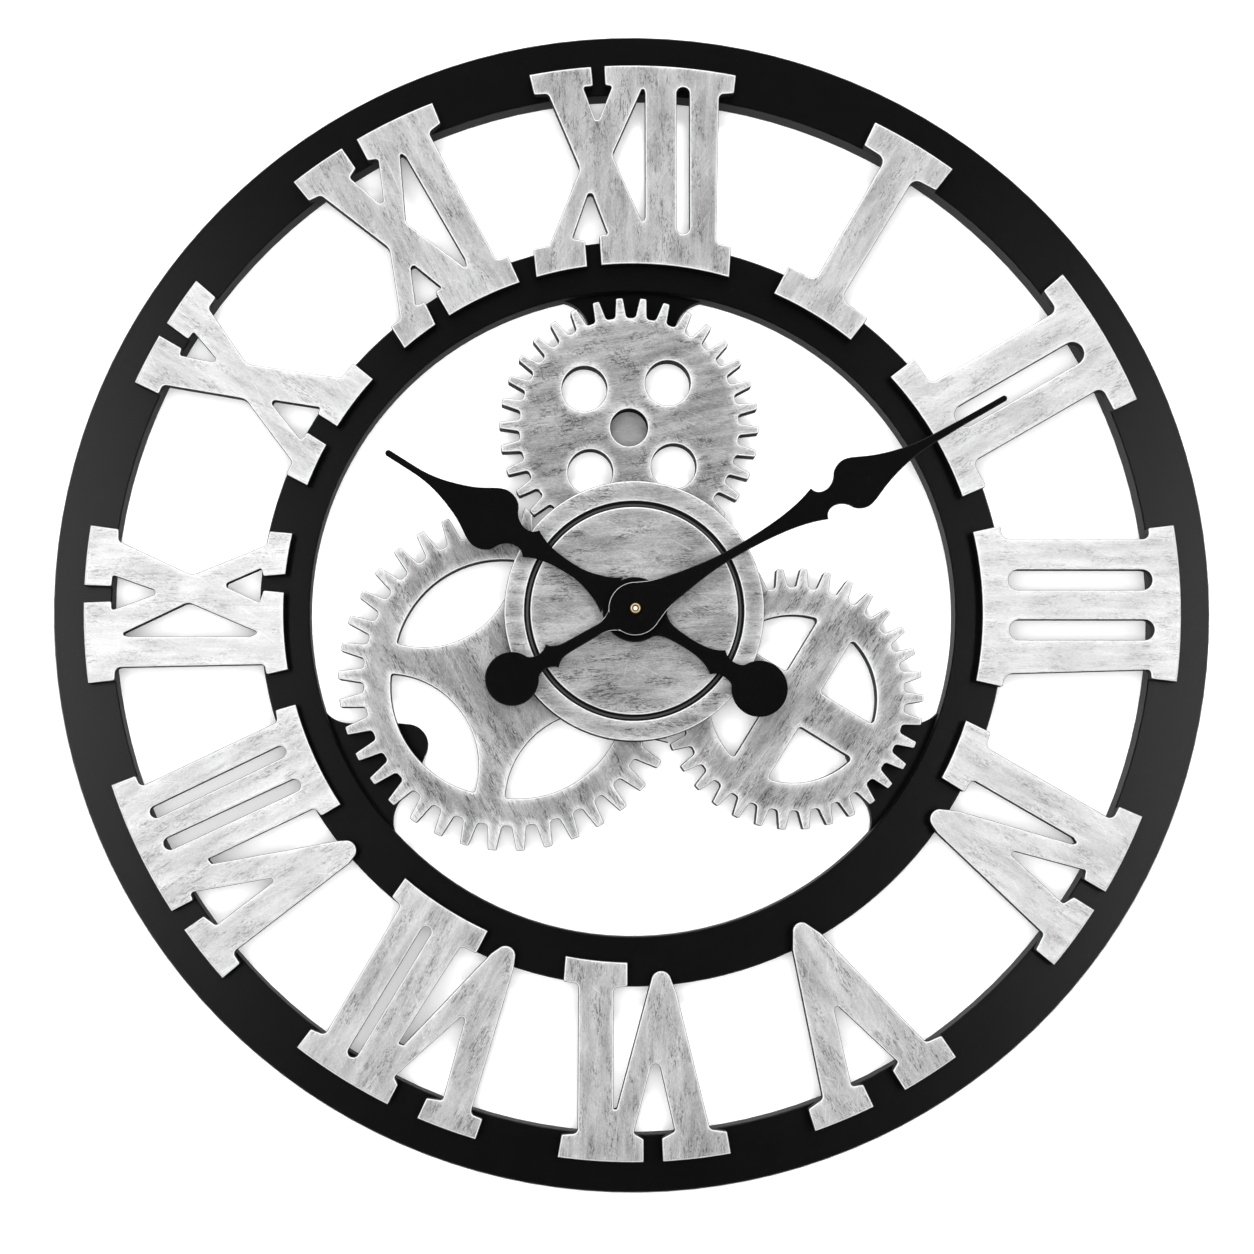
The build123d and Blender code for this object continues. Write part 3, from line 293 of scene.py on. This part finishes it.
def star_scuff(t, x, z, centre_x, centre_z, reach):
    """Mask of a star-shaped scuff: rays from its centre that fade out at its reach."""
    dx, dz = t.sub(x, centre_x), t.sub(z, centre_z)
    turn = t.math("ARCTAN2", dx, dz)
    away = t.math("SQRT", t.add(t.mul(dx, dx), t.mul(dz, dz)))
    wheel = t.nodes.new("ShaderNodeCombineXYZ")
    t.put(wheel.inputs[0], t.mul(turn, 5.0))
    t.put(wheel.inputs[1], t.mul(away, 0.16))
    rays = t.ramp(t.noise(wheel.outputs[0], 1.0, 1.0, 0.5), 0.58, 0.66)
    return t.mul(rays, t.fall(away, 0.5 * reach, reach))


def silver_edges(t, tone, halo, halo_width, mottled, dark):
    """The tone, paler near the front's outline and with a bright line along the outline itself, which is part
    worn paint and part painted highlight.
    """
    edge = t.attribute("edge")
    near = t.fall(edge, 0.0, halo_width)
    near = t.mul(t.mul(near, near), t.mix(mottled, 0.7, 1.0))
    tone = t.lighten(tone, t.darken(near, dark, 0.4), halo)
    # painted highlight, with worn bright paint: a near-white line along the front's outline
    line = t.fall(edge, 0.10, 0.50)
    tone = t.mix(t.mul(line, 0.6), tone, 0.95)
    return t.math("MINIMUM", t.most(tone, 0.03), 0.95)


def silver(name, angle, level, seed, front, contrast, halo, halo_width, cross=0.3, stars=()):
    """Distressed silver paint over a black board: streaks along one direction, dark pits in clusters, fine
    scratches, paler towards every edge, a bevel worn bright by rubbing and with a painted highlight, a painted
    shade line on the bevel beside the wall, black side walls and a near-black recess floor, painted as shade
    towards the groove's walls.
    front is the painted face's y in millimetres; cross is the share of strokes that run the other way;
    stars are (x, z, reach) of star-shaped scuffs."""
    t = Tree(name)
    p = t.millimetres()
    x, y, z = t.xyz(p)
    rng = random.Random(seed)
    shift = [rng.uniform(-90.0, 90.0) for _ in range(3)]

    def field(across, along, layer, detail=2.0, roughness=0.5, distortion=0.0, turn=0.0):
        """Noise whose marks are across wide and along long, in millimetres, different for each layer."""
        moved = [part + layer * LAYER_STEP for part in shift]
        place = t.turned(p, angle + turn, (1.0 / across, 0.0, 1.0 / along), moved)
        return t.noise(place, 1.0, detail, roughness, distortion)

    # brushwork, from slow changes of tone to the finest tooth
    mottled = t.ramp(field(15.0, 36.0, 1, 3.0, 0.55), 0.34, 0.66)
    bands = t.swing(field(3.8, 30.0, 2, 3.0, 0.6), 0.17)
    strokes = field(0.75, 5.0, 3, 2.0, 0.6, 0.5)
    crossing = field(0.75, 4.0, 12, 2.0, 0.6, 0.5, 74.0)
    fine = t.swing(field(0.45, 1.5, 4, 2.0, 0.6, 0.8), 0.18)
    dark = t.most(t.ramp(strokes, 0.51, 0.66), t.mul(t.ramp(crossing, 0.53, 0.68), cross))

    # wear, most of it in patches: pits, crinkled paint and hair scratches
    patch = field(6.0, 17.0, 6, 2.0, 0.55)
    patched = t.ramp(patch, 0.46, 0.62)
    pitted = t.mul(t.ramp(field(0.65, 1.9, 5, 1.0, 0.5, 0.6), 0.57, 0.68), t.mix(patched, 0.12, 1.0))
    ridge = t.absolute(t.sub(field(1.9, 3.0, 8, 1.0, 0.5, 1.8), 0.5))
    crinkle = t.mul(t.fall(ridge, 0.0, 0.030), t.ramp(patch, 0.38, 0.56))
    hairs = t.most(
        t.ramp(field(0.42, 22.0, 9, 0.0, 0.5, 0.0, 34.0), 0.74, 0.78),
        t.ramp(field(0.42, 18.0, 10, 0.0, 0.5, 0.0, -47.0), 0.75, 0.79),
        t.ramp(field(0.36, 26.0, 11, 0.0, 0.5, 0.0, 6.0), 0.72, 0.77),
        *[star_scuff(t, x, z, *star) for star in stars],
    )

    tone = t.lighten(1.0, t.sub(mottled, 0.5), 0.26 * contrast)
    tone = t.lighten(tone, bands, 0.24 * contrast)
    tone = t.lighten(tone, fine, 0.24 * contrast)
    tone = t.darken(tone, t.mul(dark, t.mix(patched, 0.22, 1.0)), 0.52 * contrast)
    tone = t.darken(tone, pitted, 0.62 * min(contrast, 1.0))
    tone = t.darken(tone, crinkle, 0.30 * contrast)
    tone = t.lighten(tone, hairs, 0.24 * contrast)
    tone = silver_edges(t, t.mul(tone, level), halo, halo_width, mottled, dark)

    # the bevel is worn bright by rubbing next to the front, with a painted highlight there too, and painted
    # black on its half beside the wall of the board as a painted shade line
    facing = t.facing()
    worn = t.noise(p, 0.35, 3.0, 0.6)
    bevel = t.between(facing, 0.35, 0.5, 0.93, 0.97)
    rubbed_and_highlit = t.ramp(worn, 0.30, 0.50, 0.72, 0.95)
    shaded_outer = t.ramp(y, front + 0.44 * BEVEL, front + 0.68 * BEVEL)
    tone = t.mix(bevel, tone, t.mix(shaded_outer, rubbed_and_highlit, 0.04))

    # the recess floor is near-black, as painted shade towards the groove's walls, with a grey line along the
    # groove's middle
    sunk = t.ramp(y, front + RECESS - 0.1, front + RECESS + 0.1)
    off_middle = t.absolute(t.sub(t.from_axis(p), GROOVE_RADIUS))
    tone = t.mix(sunk, tone, t.ramp(off_middle, 0.25, 0.75, 0.10, 0.008))

    # the side walls are black and a little worn, the back is primed
    painted = t.ramp(facing, 0.5, 0.62)
    tone = t.mix(painted, t.ramp(worn, 0.62, 0.74, 0.006, 0.03), tone)
    tone = t.mix(t.on_back(facing), tone, board_back(t, p))

    bright = t.mul(painted, t.sub(1.0, sunk))
    roughness = t.mix(bright, 0.95, t.lighten(0.36, strokes, 0.12))
    metal = t.mul(bright, t.mix(pitted, 0.5, 0.1))
    height = t.mul(fine, 0.5)
    height = t.lighten(height, crinkle, -0.7)
    height = t.lighten(height, pitted, -0.9)
    height = t.lighten(height, hairs, 0.4)
    normal = t.bump(height, 0.00012, 0.6)
    return t.surface(t.grey(tone, (1.0, 1.0, 1.005)), roughness, metal, normal, Specular_IOR_Level=0.2)


def black_paint(name, roughness, specular, highlit_arris=0.0):
    """Satin black paint on board, a little uneven, with fine dust. Its last argument sets how pale a painted
    highlight along its bevelled edges is near the dial's centre; further out that highlight is nearly black."""
    t = Tree(name)
    p = t.millimetres()
    facing = t.facing()
    soft = t.noise(p, 0.03, 3.0, 0.55)
    fine = t.noise(p, 1.6, 3.0, 0.6)
    dust = t.ramp(t.noise(p, 2.3, 1.0, 0.5, 0.6), 0.735, 0.77)
    tone = t.lighten(t.mul(BLACK_TONE, t.ramp(soft, 0.3, 0.7, 0.8, 1.25)), dust, 0.03)
    if highlit_arris:
        # painted highlight along the bevelled edges, strongest near the dial's centre
        slant = t.between(t.absolute(facing), 0.25, 0.4, 0.93, 0.98)
        central = t.ramp(t.from_axis(p), 15.0, 24.0, 1.0, 0.06)
        tone = t.lighten(tone, t.mul(slant, central), highlit_arris)
    upright = t.ramp(t.absolute(facing), 0.3, 0.6)
    rough = t.mix(upright, 0.95, t.lighten(roughness - 0.03, fine, 0.08))
    back = t.on_back(facing)
    tone = t.mix(back, tone, board_back(t, p))
    rough = t.mix(back, rough, 0.6)
    normal = t.bump(t.lighten(fine, soft, 2.0), 0.00006, 0.5)
    return t.surface(t.grey(tone, (1.0, 1.0, 1.03)), rough, 0.0, normal, Specular_IOR_Level=specular)


# ---------------------------------------------------------- plastic, metal, sleeve

def plain(name, colour, roughness, metallic=0.0, spread=0.06, **fixed):
    """A moulded or turned part: one colour with a slight unevenness and a fine grain."""
    t = Tree(name)
    p = t.millimetres()
    soft = t.noise(p, 0.12, 3.0, 0.55)
    fine = t.noise(p, 3.0, 2.0, 0.6)
    share = t.add(t.mul(t.sub(soft, 0.5), 2.0 * spread), t.mul(t.sub(fine, 0.5), spread))
    colour = t.mix_colour(1.0, colour, t.grey(t.add(1.0, share)), "MULTIPLY")
    rough = t.lighten(roughness - 0.05, soft, 0.10)
    return t.surface(colour, rough, metallic, t.bump(fine, 0.00003, 0.5), **fixed)


def turned_end(name, colour, shade_colour, lit_radii, metallic):
    """The end of a turned part, drawn flat with painted light and shade: its colour between the two given
    radii, in millimetres, and a dark painted shade inside and outside them, for the bands of a domed end.
    """
    t = Tree(name)
    p = t.millimetres()
    away = t.from_axis(p)
    fade = 0.25
    shaded_inner = t.fall(away, lit_radii[0] - fade, lit_radii[0] + fade)
    shaded_outer = t.ramp(away, lit_radii[1] - fade, lit_radii[1] + fade)
    colour = t.mix_colour(t.most(shaded_inner, shaded_outer), colour, shade_colour)
    fine = t.noise(p, 3.0, 2.0, 0.6)
    return t.surface(colour, 0.30, metallic, t.bump(fine, 0.00002, 0.5))


def cell_sleeve():
    """Shrink sleeve of an AA cell: black with a copper band at one end and a fine pale line between."""
    t = Tree("battery_sleeve")
    p = t.millimetres()
    x = t.xyz(p)[0]
    colour = t.mix_colour(t.ramp(x, 9.0, 9.2), (0.012, 0.012, 0.013), (0.50, 0.22, 0.09))
    line = t.between(x, 8.2, 8.3, 8.8, 8.9)
    colour = t.mix_colour(line, colour, (0.62, 0.62, 0.60))
    scuffs = t.noise(t.turned(p, 90.0, (0.6, 0.6, 0.08)), 1.0, 3.0, 0.6)
    return t.surface(colour, t.lighten(0.22, scuffs, 0.2), 0.3, t.bump(scuffs, 0.00003, 0.5))


# ------------------------------------------------------- silver pieces, dense fronts

def inside_outline(points, a, b):
    """Even-odd test: True for each point inside the closed outline whose edges run from a to b."""
    inside = np.zeros(len(points), bool)
    for (x0, z0), (x1, z1) in zip(a, b):
        hit = (z0 > points[:, 1]) != (z1 > points[:, 1])
        if hit.any():
            at = x0 + (points[:, 1] - z0) / (z1 - z0) * (x1 - x0)
            inside ^= hit & (points[:, 0] < at)
    return inside


def distance_to(points, a, b):
    """Shortest distance from each point to the outline's edges."""
    best = np.full(len(points), np.inf)
    for start, end in zip(a, b):
        run = end - start
        along = np.clip(((points - start) @ run) / max(float(run @ run), 1e-12), 0.0, 1.0)
        gap = points - start - along[:, None] * run
        best = np.minimum(best, (gap * gap).sum(1))
    return np.sqrt(best)


def front_outline(bm, front):
    """The faces of the flat front and its outline, in millimetres: points and the pairs that edges join."""
    flat = SAME_PLANE / 1000.0
    cap = {f for f in bm.faces if f.normal.y < -0.99 and all(abs(v.co.y - front) < flat for v in f.verts)}
    rim = [e for e in bm.edges if sum(f in cap for f in e.link_faces) == 1]
    order = {v: i for i, v in enumerate(dict.fromkeys(v for e in rim for v in e.verts))}
    outline = np.array([(v.co.x * 1000.0, v.co.z * 1000.0) for v in order])
    pairs = np.array([[order[e.verts[0]], order[e.verts[1]]] for e in rim])
    return cap, outline, pairs


def triangular_grid(low, high):
    """Points of an even triangular grid over a rectangle."""
    grid = []
    row_step = FRONT_SPACING * 0.866
    for row, z in enumerate(np.arange(low[1], high[1], row_step)):
        xs = np.arange(low[0] + (row % 2) * FRONT_SPACING / 2, high[0], FRONT_SPACING)
        grid.append(np.c_[xs, np.full(len(xs), z)])
    return np.concatenate(grid)


def refine_front(bm, front):
    """Replace the flat front by a fine mesh of the same outline. Returns the two ends of each of the outline's
    edges, in millimetres."""
    cap, outline, pairs = front_outline(bm, front)
    a, b = outline[pairs[:, 0]], outline[pairs[:, 1]]
    grid = triangular_grid(outline.min(0), outline.max(0))
    grid = grid[inside_outline(grid, a, b)]
    grid = grid[distance_to(grid, a, b) > 0.45 * FRONT_SPACING]
    points = [Vector(q) for q in np.concatenate([outline, grid])]
    made = geometry.delaunay_2d_cdt(points, [tuple(map(int, q)) for q in pairs], [], 0, 1e-6)
    flat, faces = np.array([tuple(v) for v in made[0]]), made[2]
    middles = np.array([flat[list(f)].mean(0) for f in faces])

    bmesh.ops.delete(bm, geom=list(cap), context="FACES_ONLY")
    fresh = [bm.verts.new((x / 1000.0, front, z / 1000.0)) for x, z in flat]
    for f, wanted in zip(faces, inside_outline(middles, a, b)):
        if wanted:
            face = bm.faces.new([fresh[i] for i in f])
            face.normal_update()
            if face.normal.y > 0:
                face.normal_flip()
    bmesh.ops.remove_doubles(bm, verts=bm.verts, dist=SAME_POINT)
    loose = [v for v in bm.verts if not v.link_faces]
    bmesh.ops.delete(bm, geom=loose, context="VERTS")
    return a, b


def mark_distances(mesh, front, a, b):
    """Give the points of the front their distance to the outline, in millimetres, and every other point 0."""
    places = np.array([v.co for v in mesh.vertices])
    on_front = np.abs(places[:, 1] - front) < SAME_POINT
    edge = np.zeros(len(places), np.float32)
    edge[on_front] = distance_to(places[on_front][:, [0, 2]] * 1000.0, a, b)
    mesh.attributes.new("edge", "FLOAT", "POINT").data.foreach_set("value", edge)


def dense_front(node):
    """A copy of a CAD node whose front is fine enough to hold each point's distance to the nearest edge."""
    mesh = bpy.data.meshes.new(node + "_painted")
    bm = bmesh.new()
    bm.from_mesh(nodes[node].data)
    bmesh.ops.remove_doubles(bm, verts=bm.verts, dist=1e-7)
    front = min(v.co.y for v in bm.verts)
    a, b = refine_front(bm, front)
    for f in bm.faces:
        f.smooth = True
    bm.to_mesh(mesh)
    bm.free()
    mark_distances(mesh, front, a, b)
    mesh.set_sharp_from_angle(angle=math.radians(28))
    piece = bpy.data.objects.new(node + "_painted", mesh)
    scene.collection.objects.link(piece)
    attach(piece, body_of(nodes[node])[0])
    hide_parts(node)
    return piece


def finish_piece(piece, material):
    piece.data.materials.clear()
    piece.data.materials.append(material)


def front_of(piece):
    """The y of a piece's front face, in millimetres."""
    return min(v.co.y for v in piece.data.vertices) * 1000.0


for k, numeral in enumerate(NUMERALS):
    angle = NUMERAL_STEP * k
    # painted sheen: numerals towards three and nine get paler, flatter paint that stands for the side lamps'
    # sheen on them
    side_sheen = math.sin(math.radians(angle)) ** 2         # the numerals at three and nine are the palest
    level, contrast = 0.44 + 0.27 * side_sheen, 1.05 - 0.45 * side_sheen
    piece = dense_front("numeral_" + numeral)
    paint = silver(
        "silver_" + numeral, angle, level, NUMERAL_SEED + k, front_of(piece),
        contrast, NUMERAL_HALO, NUMERAL_HALO_WIDTH,
    )
    finish_piece(piece, paint)

PLATES = {
    # node: streak direction clockwise from twelve, level, contrast, halo, share of crossing strokes, stars
    "gear_plate_top": (78.0, 0.35, 1.35, 0.36, 0.8, ()),
    "gear_plate_left": (152.0, 0.36, 1.45, 0.36, 0.25, ()),
    "gear_plate_right": (31.0, 0.36, 1.45, 0.36, 0.25, ()),
    "gear_backing_disc": (90.0, 0.33, 0.3, 0.0, 0.0, ()),
    "disc_housing": (90.0, 0.39, 1.35, 0.22, 0.5, ()),
    "disc_face": (86.0, 0.365, 1.4, 0.18, 0.35, ((4.0, 19.0, 9.0), (-3.0, -24.0, 11.0), (24.0, 2.0, 8.0))),
}
for k, (node, (angle, level, contrast, halo, cross, stars)) in enumerate(PLATES.items()):
    piece = dense_front(node)
    paint = silver(
        "silver_" + node, angle, level, PLATE_SEED + k, front_of(piece),
        contrast, halo, PLATE_HALO_WIDTH, cross, stars,
    )
    finish_piece(piece, paint)

# ------------------------------------------------------------------ other pieces

LOOKS = {
    # by material slot
    "black_board": black_paint("black_board", 0.30, 0.5),
    "black_hand": black_paint("black_hand", 0.5, 0.15, highlit_arris=0.02),
    "black_plastic": plain("black_plastic", (0.018, 0.018, 0.019), 0.42, spread=0.08),
    "white_plastic": plain("white_plastic", (0.78, 0.76, 0.70), 0.4),
    "steel": plain("steel", (0.52, 0.52, 0.52), 0.42, metallic=0.9, spread=0.07),
    "zinc_screw": plain("zinc_screw", (0.46, 0.45, 0.41), 0.42, metallic=0.9, spread=0.10),
    "board_green": plain("board_green", (0.03, 0.13, 0.05), 0.4),
    "copper_wire": plain("copper_wire", (0.62, 0.24, 0.10), 0.35, metallic=0.9),
    "brass": plain("brass", (0.95, 0.72, 0.34), 0.30, metallic=0.9, spread=0.05),
    "black_rubber": plain("black_rubber", (0.02, 0.02, 0.02), 0.7),
    "battery_sleeve": cell_sleeve(),
    "magnet": plain("magnet", (0.20, 0.20, 0.21), 0.45, metallic=0.8),
}
OWN_LOOKS = {
    # by node, before its slot's look
    # painted light: the cap's dark rings are painted shade, and the arbor's near-white centre is partly
    # plating and partly a painted highlight
    "cap_nut": turned_end("cap_brass", (0.95, 0.70, 0.32), (0.08, 0.05, 0.025), (1.75, 2.3), 0.6),
    "minute_arbor": turned_end("arbor_steel", (0.92, 0.92, 0.90), (0.06, 0.05, 0.04), (-1.0, 0.95), 0.2),
    "minute_hand": black_paint("black_minute_hand", 0.5, 0.15, highlit_arris=0.4),
}
for node, piece in nodes.items():
    if not piece.hide_render:
        finish_piece(piece, OWN_LOOKS.get(node) or LOOKS[slots[node]])


def bevel_highlit_edges(piece):
    """A narrow bevel on the sharp edges, after joining the points that the frame has once for each face. It
    carries the painted edge highlight of the hands' paint.
    """
    joined = piece.modifiers.new("joined", "WELD")
    joined.merge_threshold = SAME_POINT
    bevel = piece.modifiers.new("highlit_arris", "BEVEL")
    bevel.width = 0.0003
    bevel.segments = 2
    bevel.limit_method = "ANGLE"
    bevel.use_clamp_overlap = False


bevel_highlit_edges(nodes["minute_hand"])
bevel_highlit_edges(nodes["hour_hand"])

# ------------------------------------------------------------------------ stage

def stage_plane(name, corners, material):
    mesh = bpy.data.meshes.new(name)
    mesh.from_pydata(corners, [], [tuple(range(len(corners)))])
    mesh.materials.append(material)
    plane = bpy.data.objects.new(name, mesh)
    scene.collection.objects.link(plane)
    return plane


def wall_paint():
    """Plain white wall that glows a little, so that small windows in the numerals stay pale. It is seen only
    from its front and is clear to lamps, so that the clock's back can be looked at."""
    t = Tree("wall_paint")
    tone = t.add(0.93, t.mul(t.noise(t.millimetres(), 0.4, 3.0, 0.6), 0.02))
    paint = t.nodes.new("ShaderNodeBsdfDiffuse")
    t.links.new(t.grey(tone), paint.inputs[0])
    glow = t.nodes.new("ShaderNodeEmission")
    glow.inputs["Strength"].default_value = 0.15
    front = t.nodes.new("ShaderNodeAddShader")
    t.links.new(paint.outputs[0], front.inputs[0])
    t.links.new(glow.outputs[0], front.inputs[1])
    clear = t.nodes.new("ShaderNodeBsdfTransparent")
    side = t.nodes.new("ShaderNodeNewGeometry")
    ray = t.nodes.new("ShaderNodeLightPath")
    both = t.nodes.new("ShaderNodeMixShader")
    t.links.new(t.most(side.outputs["Backfacing"], ray.outputs["Is Shadow Ray"]), both.inputs[0])
    t.links.new(front.outputs[0], both.inputs[1])
    t.links.new(clear.outputs[0], both.inputs[2])
    t.links.new(both.outputs[0], t.out.inputs[0])
    return t.material


def build_wall():
    corners = [(-1, FLOOR_Z), (1, FLOOR_Z), (1, WALL_TOP), (-1, WALL_TOP)]
    stage_plane("wall", [(side * WALL_SIDE, WALL_Y, z) for side, z in corners], wall_paint())


def build_floor():
    """Pale floor that gives off its own light and doesn't show in glossy paint."""
    paint = plain(
        "floor_paint", (0.80, 0.80, 0.80), 0.6, Emission_Color=(1.0, 1.0, 1.0, 1.0), Emission_Strength=0.42
    )
    corners = [(-1, -1), (1, -1), (1, 1), (-1, 1)]
    floor = stage_plane("floor", [(x * FLOOR_SIDE, y * FLOOR_SIDE, FLOOR_Z) for x, y in corners], paint)
    floor.visible_glossy = False
    floor.visible_diffuse = False


def build_world(light, shown):
    """An even white room that gives little light; shown is its brightness in views past the wall."""
    world = bpy.data.worlds.new("studio")
    world.use_nodes = True
    tree = world.node_tree
    ray = tree.nodes.new("ShaderNodeLightPath")
    strength = tree.nodes.new("ShaderNodeMix")
    strength.data_type = "FLOAT"
    strength.inputs[2].default_value = light
    strength.inputs[3].default_value = shown
    tree.links.new(ray.outputs["Is Camera Ray"], strength.inputs[0])
    background = tree.nodes["Background"]
    background.inputs[0].default_value = (1.0, 1.0, 1.0, 1.0)
    tree.links.new(strength.outputs[0], background.inputs[1])
    scene.world = world


def softbox(name, at, size, radiance, glossy=True):
    """A rectangular lamp that faces the dial. Its power follows from the brightness of its face."""
    data = bpy.data.lights.new(name, "AREA")
    data.shape = "RECTANGLE"
    data.size, data.size_y = size
    data.energy = radiance * math.pi * size[0] * size[1]
    lamp = bpy.data.objects.new(name, data)
    scene.collection.objects.link(lamp)
    lamp.location = at
    lamp.rotation_mode = "QUATERNION"
    lamp.rotation_quaternion = (DIAL - at).to_track_quat("-Z", "Y")
    lamp.visible_glossy = glossy


def towards(turn, rise, away):
    """A point in front of the dial: turn degrees to the right, rise degrees up, away metres off."""
    a, e = math.radians(turn), math.radians(rise)
    return DIAL + Vector((math.sin(a) * math.cos(e), -math.cos(a) * math.cos(e), math.sin(e))) * away


build_wall()
build_floor()
build_world(light=0.03, shown=0.92)
softbox("strip_left", towards(-29, 4, 1.6), (0.36, 1.0), 3.2)
softbox("strip_right", towards(32, 0, 1.6), (0.36, 1.0), 2.8)
softbox("overhead", towards(0, 62, 1.5), (1.4, 0.7), 1.6)
softbox("fill", towards(-3, -6, 1.9), (1.5, 1.5), 6.3, glossy=False)
softbox("key", towards(5, 40, 1.9), (0.4, 0.4), 40.0, glossy=False)
softbox("behind", DIAL + Vector((-0.5, 1.8, 0.5)), (1.4, 1.4), 3.2)

# ----------------------------------------------------------------------- camera

def build_camera(place, pitch, yaw, roll):
    """A shifted view camera at place, a little off square to the wall by three small angles in degrees."""
    data = bpy.data.cameras.new("camera")
    data.sensor_width = 36.0
    data.lens = 64.648
    data.shift_x = 0.06
    data.shift_y = 0.15
    data.clip_start = 0.01
    data.clip_end = 50.0
    pitch, yaw, roll = math.radians(pitch), math.radians(yaw), math.radians(roll)
    forward = Vector((math.sin(yaw) * math.cos(pitch), math.cos(yaw) * math.cos(pitch), math.sin(pitch)))
    right = Vector((math.cos(yaw), -math.sin(yaw), 0.0))
    up = right.cross(forward)
    right, up = right * math.cos(roll) + up * math.sin(roll), up * math.cos(roll) - right * math.sin(roll)
    camera = bpy.data.objects.new("camera", data)
    scene.collection.objects.link(camera)
    camera.matrix_world = Matrix.Translation(place) @ Matrix((right, up, -forward)).transposed().to_4x4()
    scene.camera = camera


build_camera(DIAL + Vector((-0.0505, -1.140, -0.1119)), pitch=0.5533, yaw=0.4956, roll=-0.0144)

scene.view_settings.view_transform = "Standard"
scene.view_settings.look = "None"
scene.view_settings.exposure = 0.0
scene.view_settings.gamma = 1.0
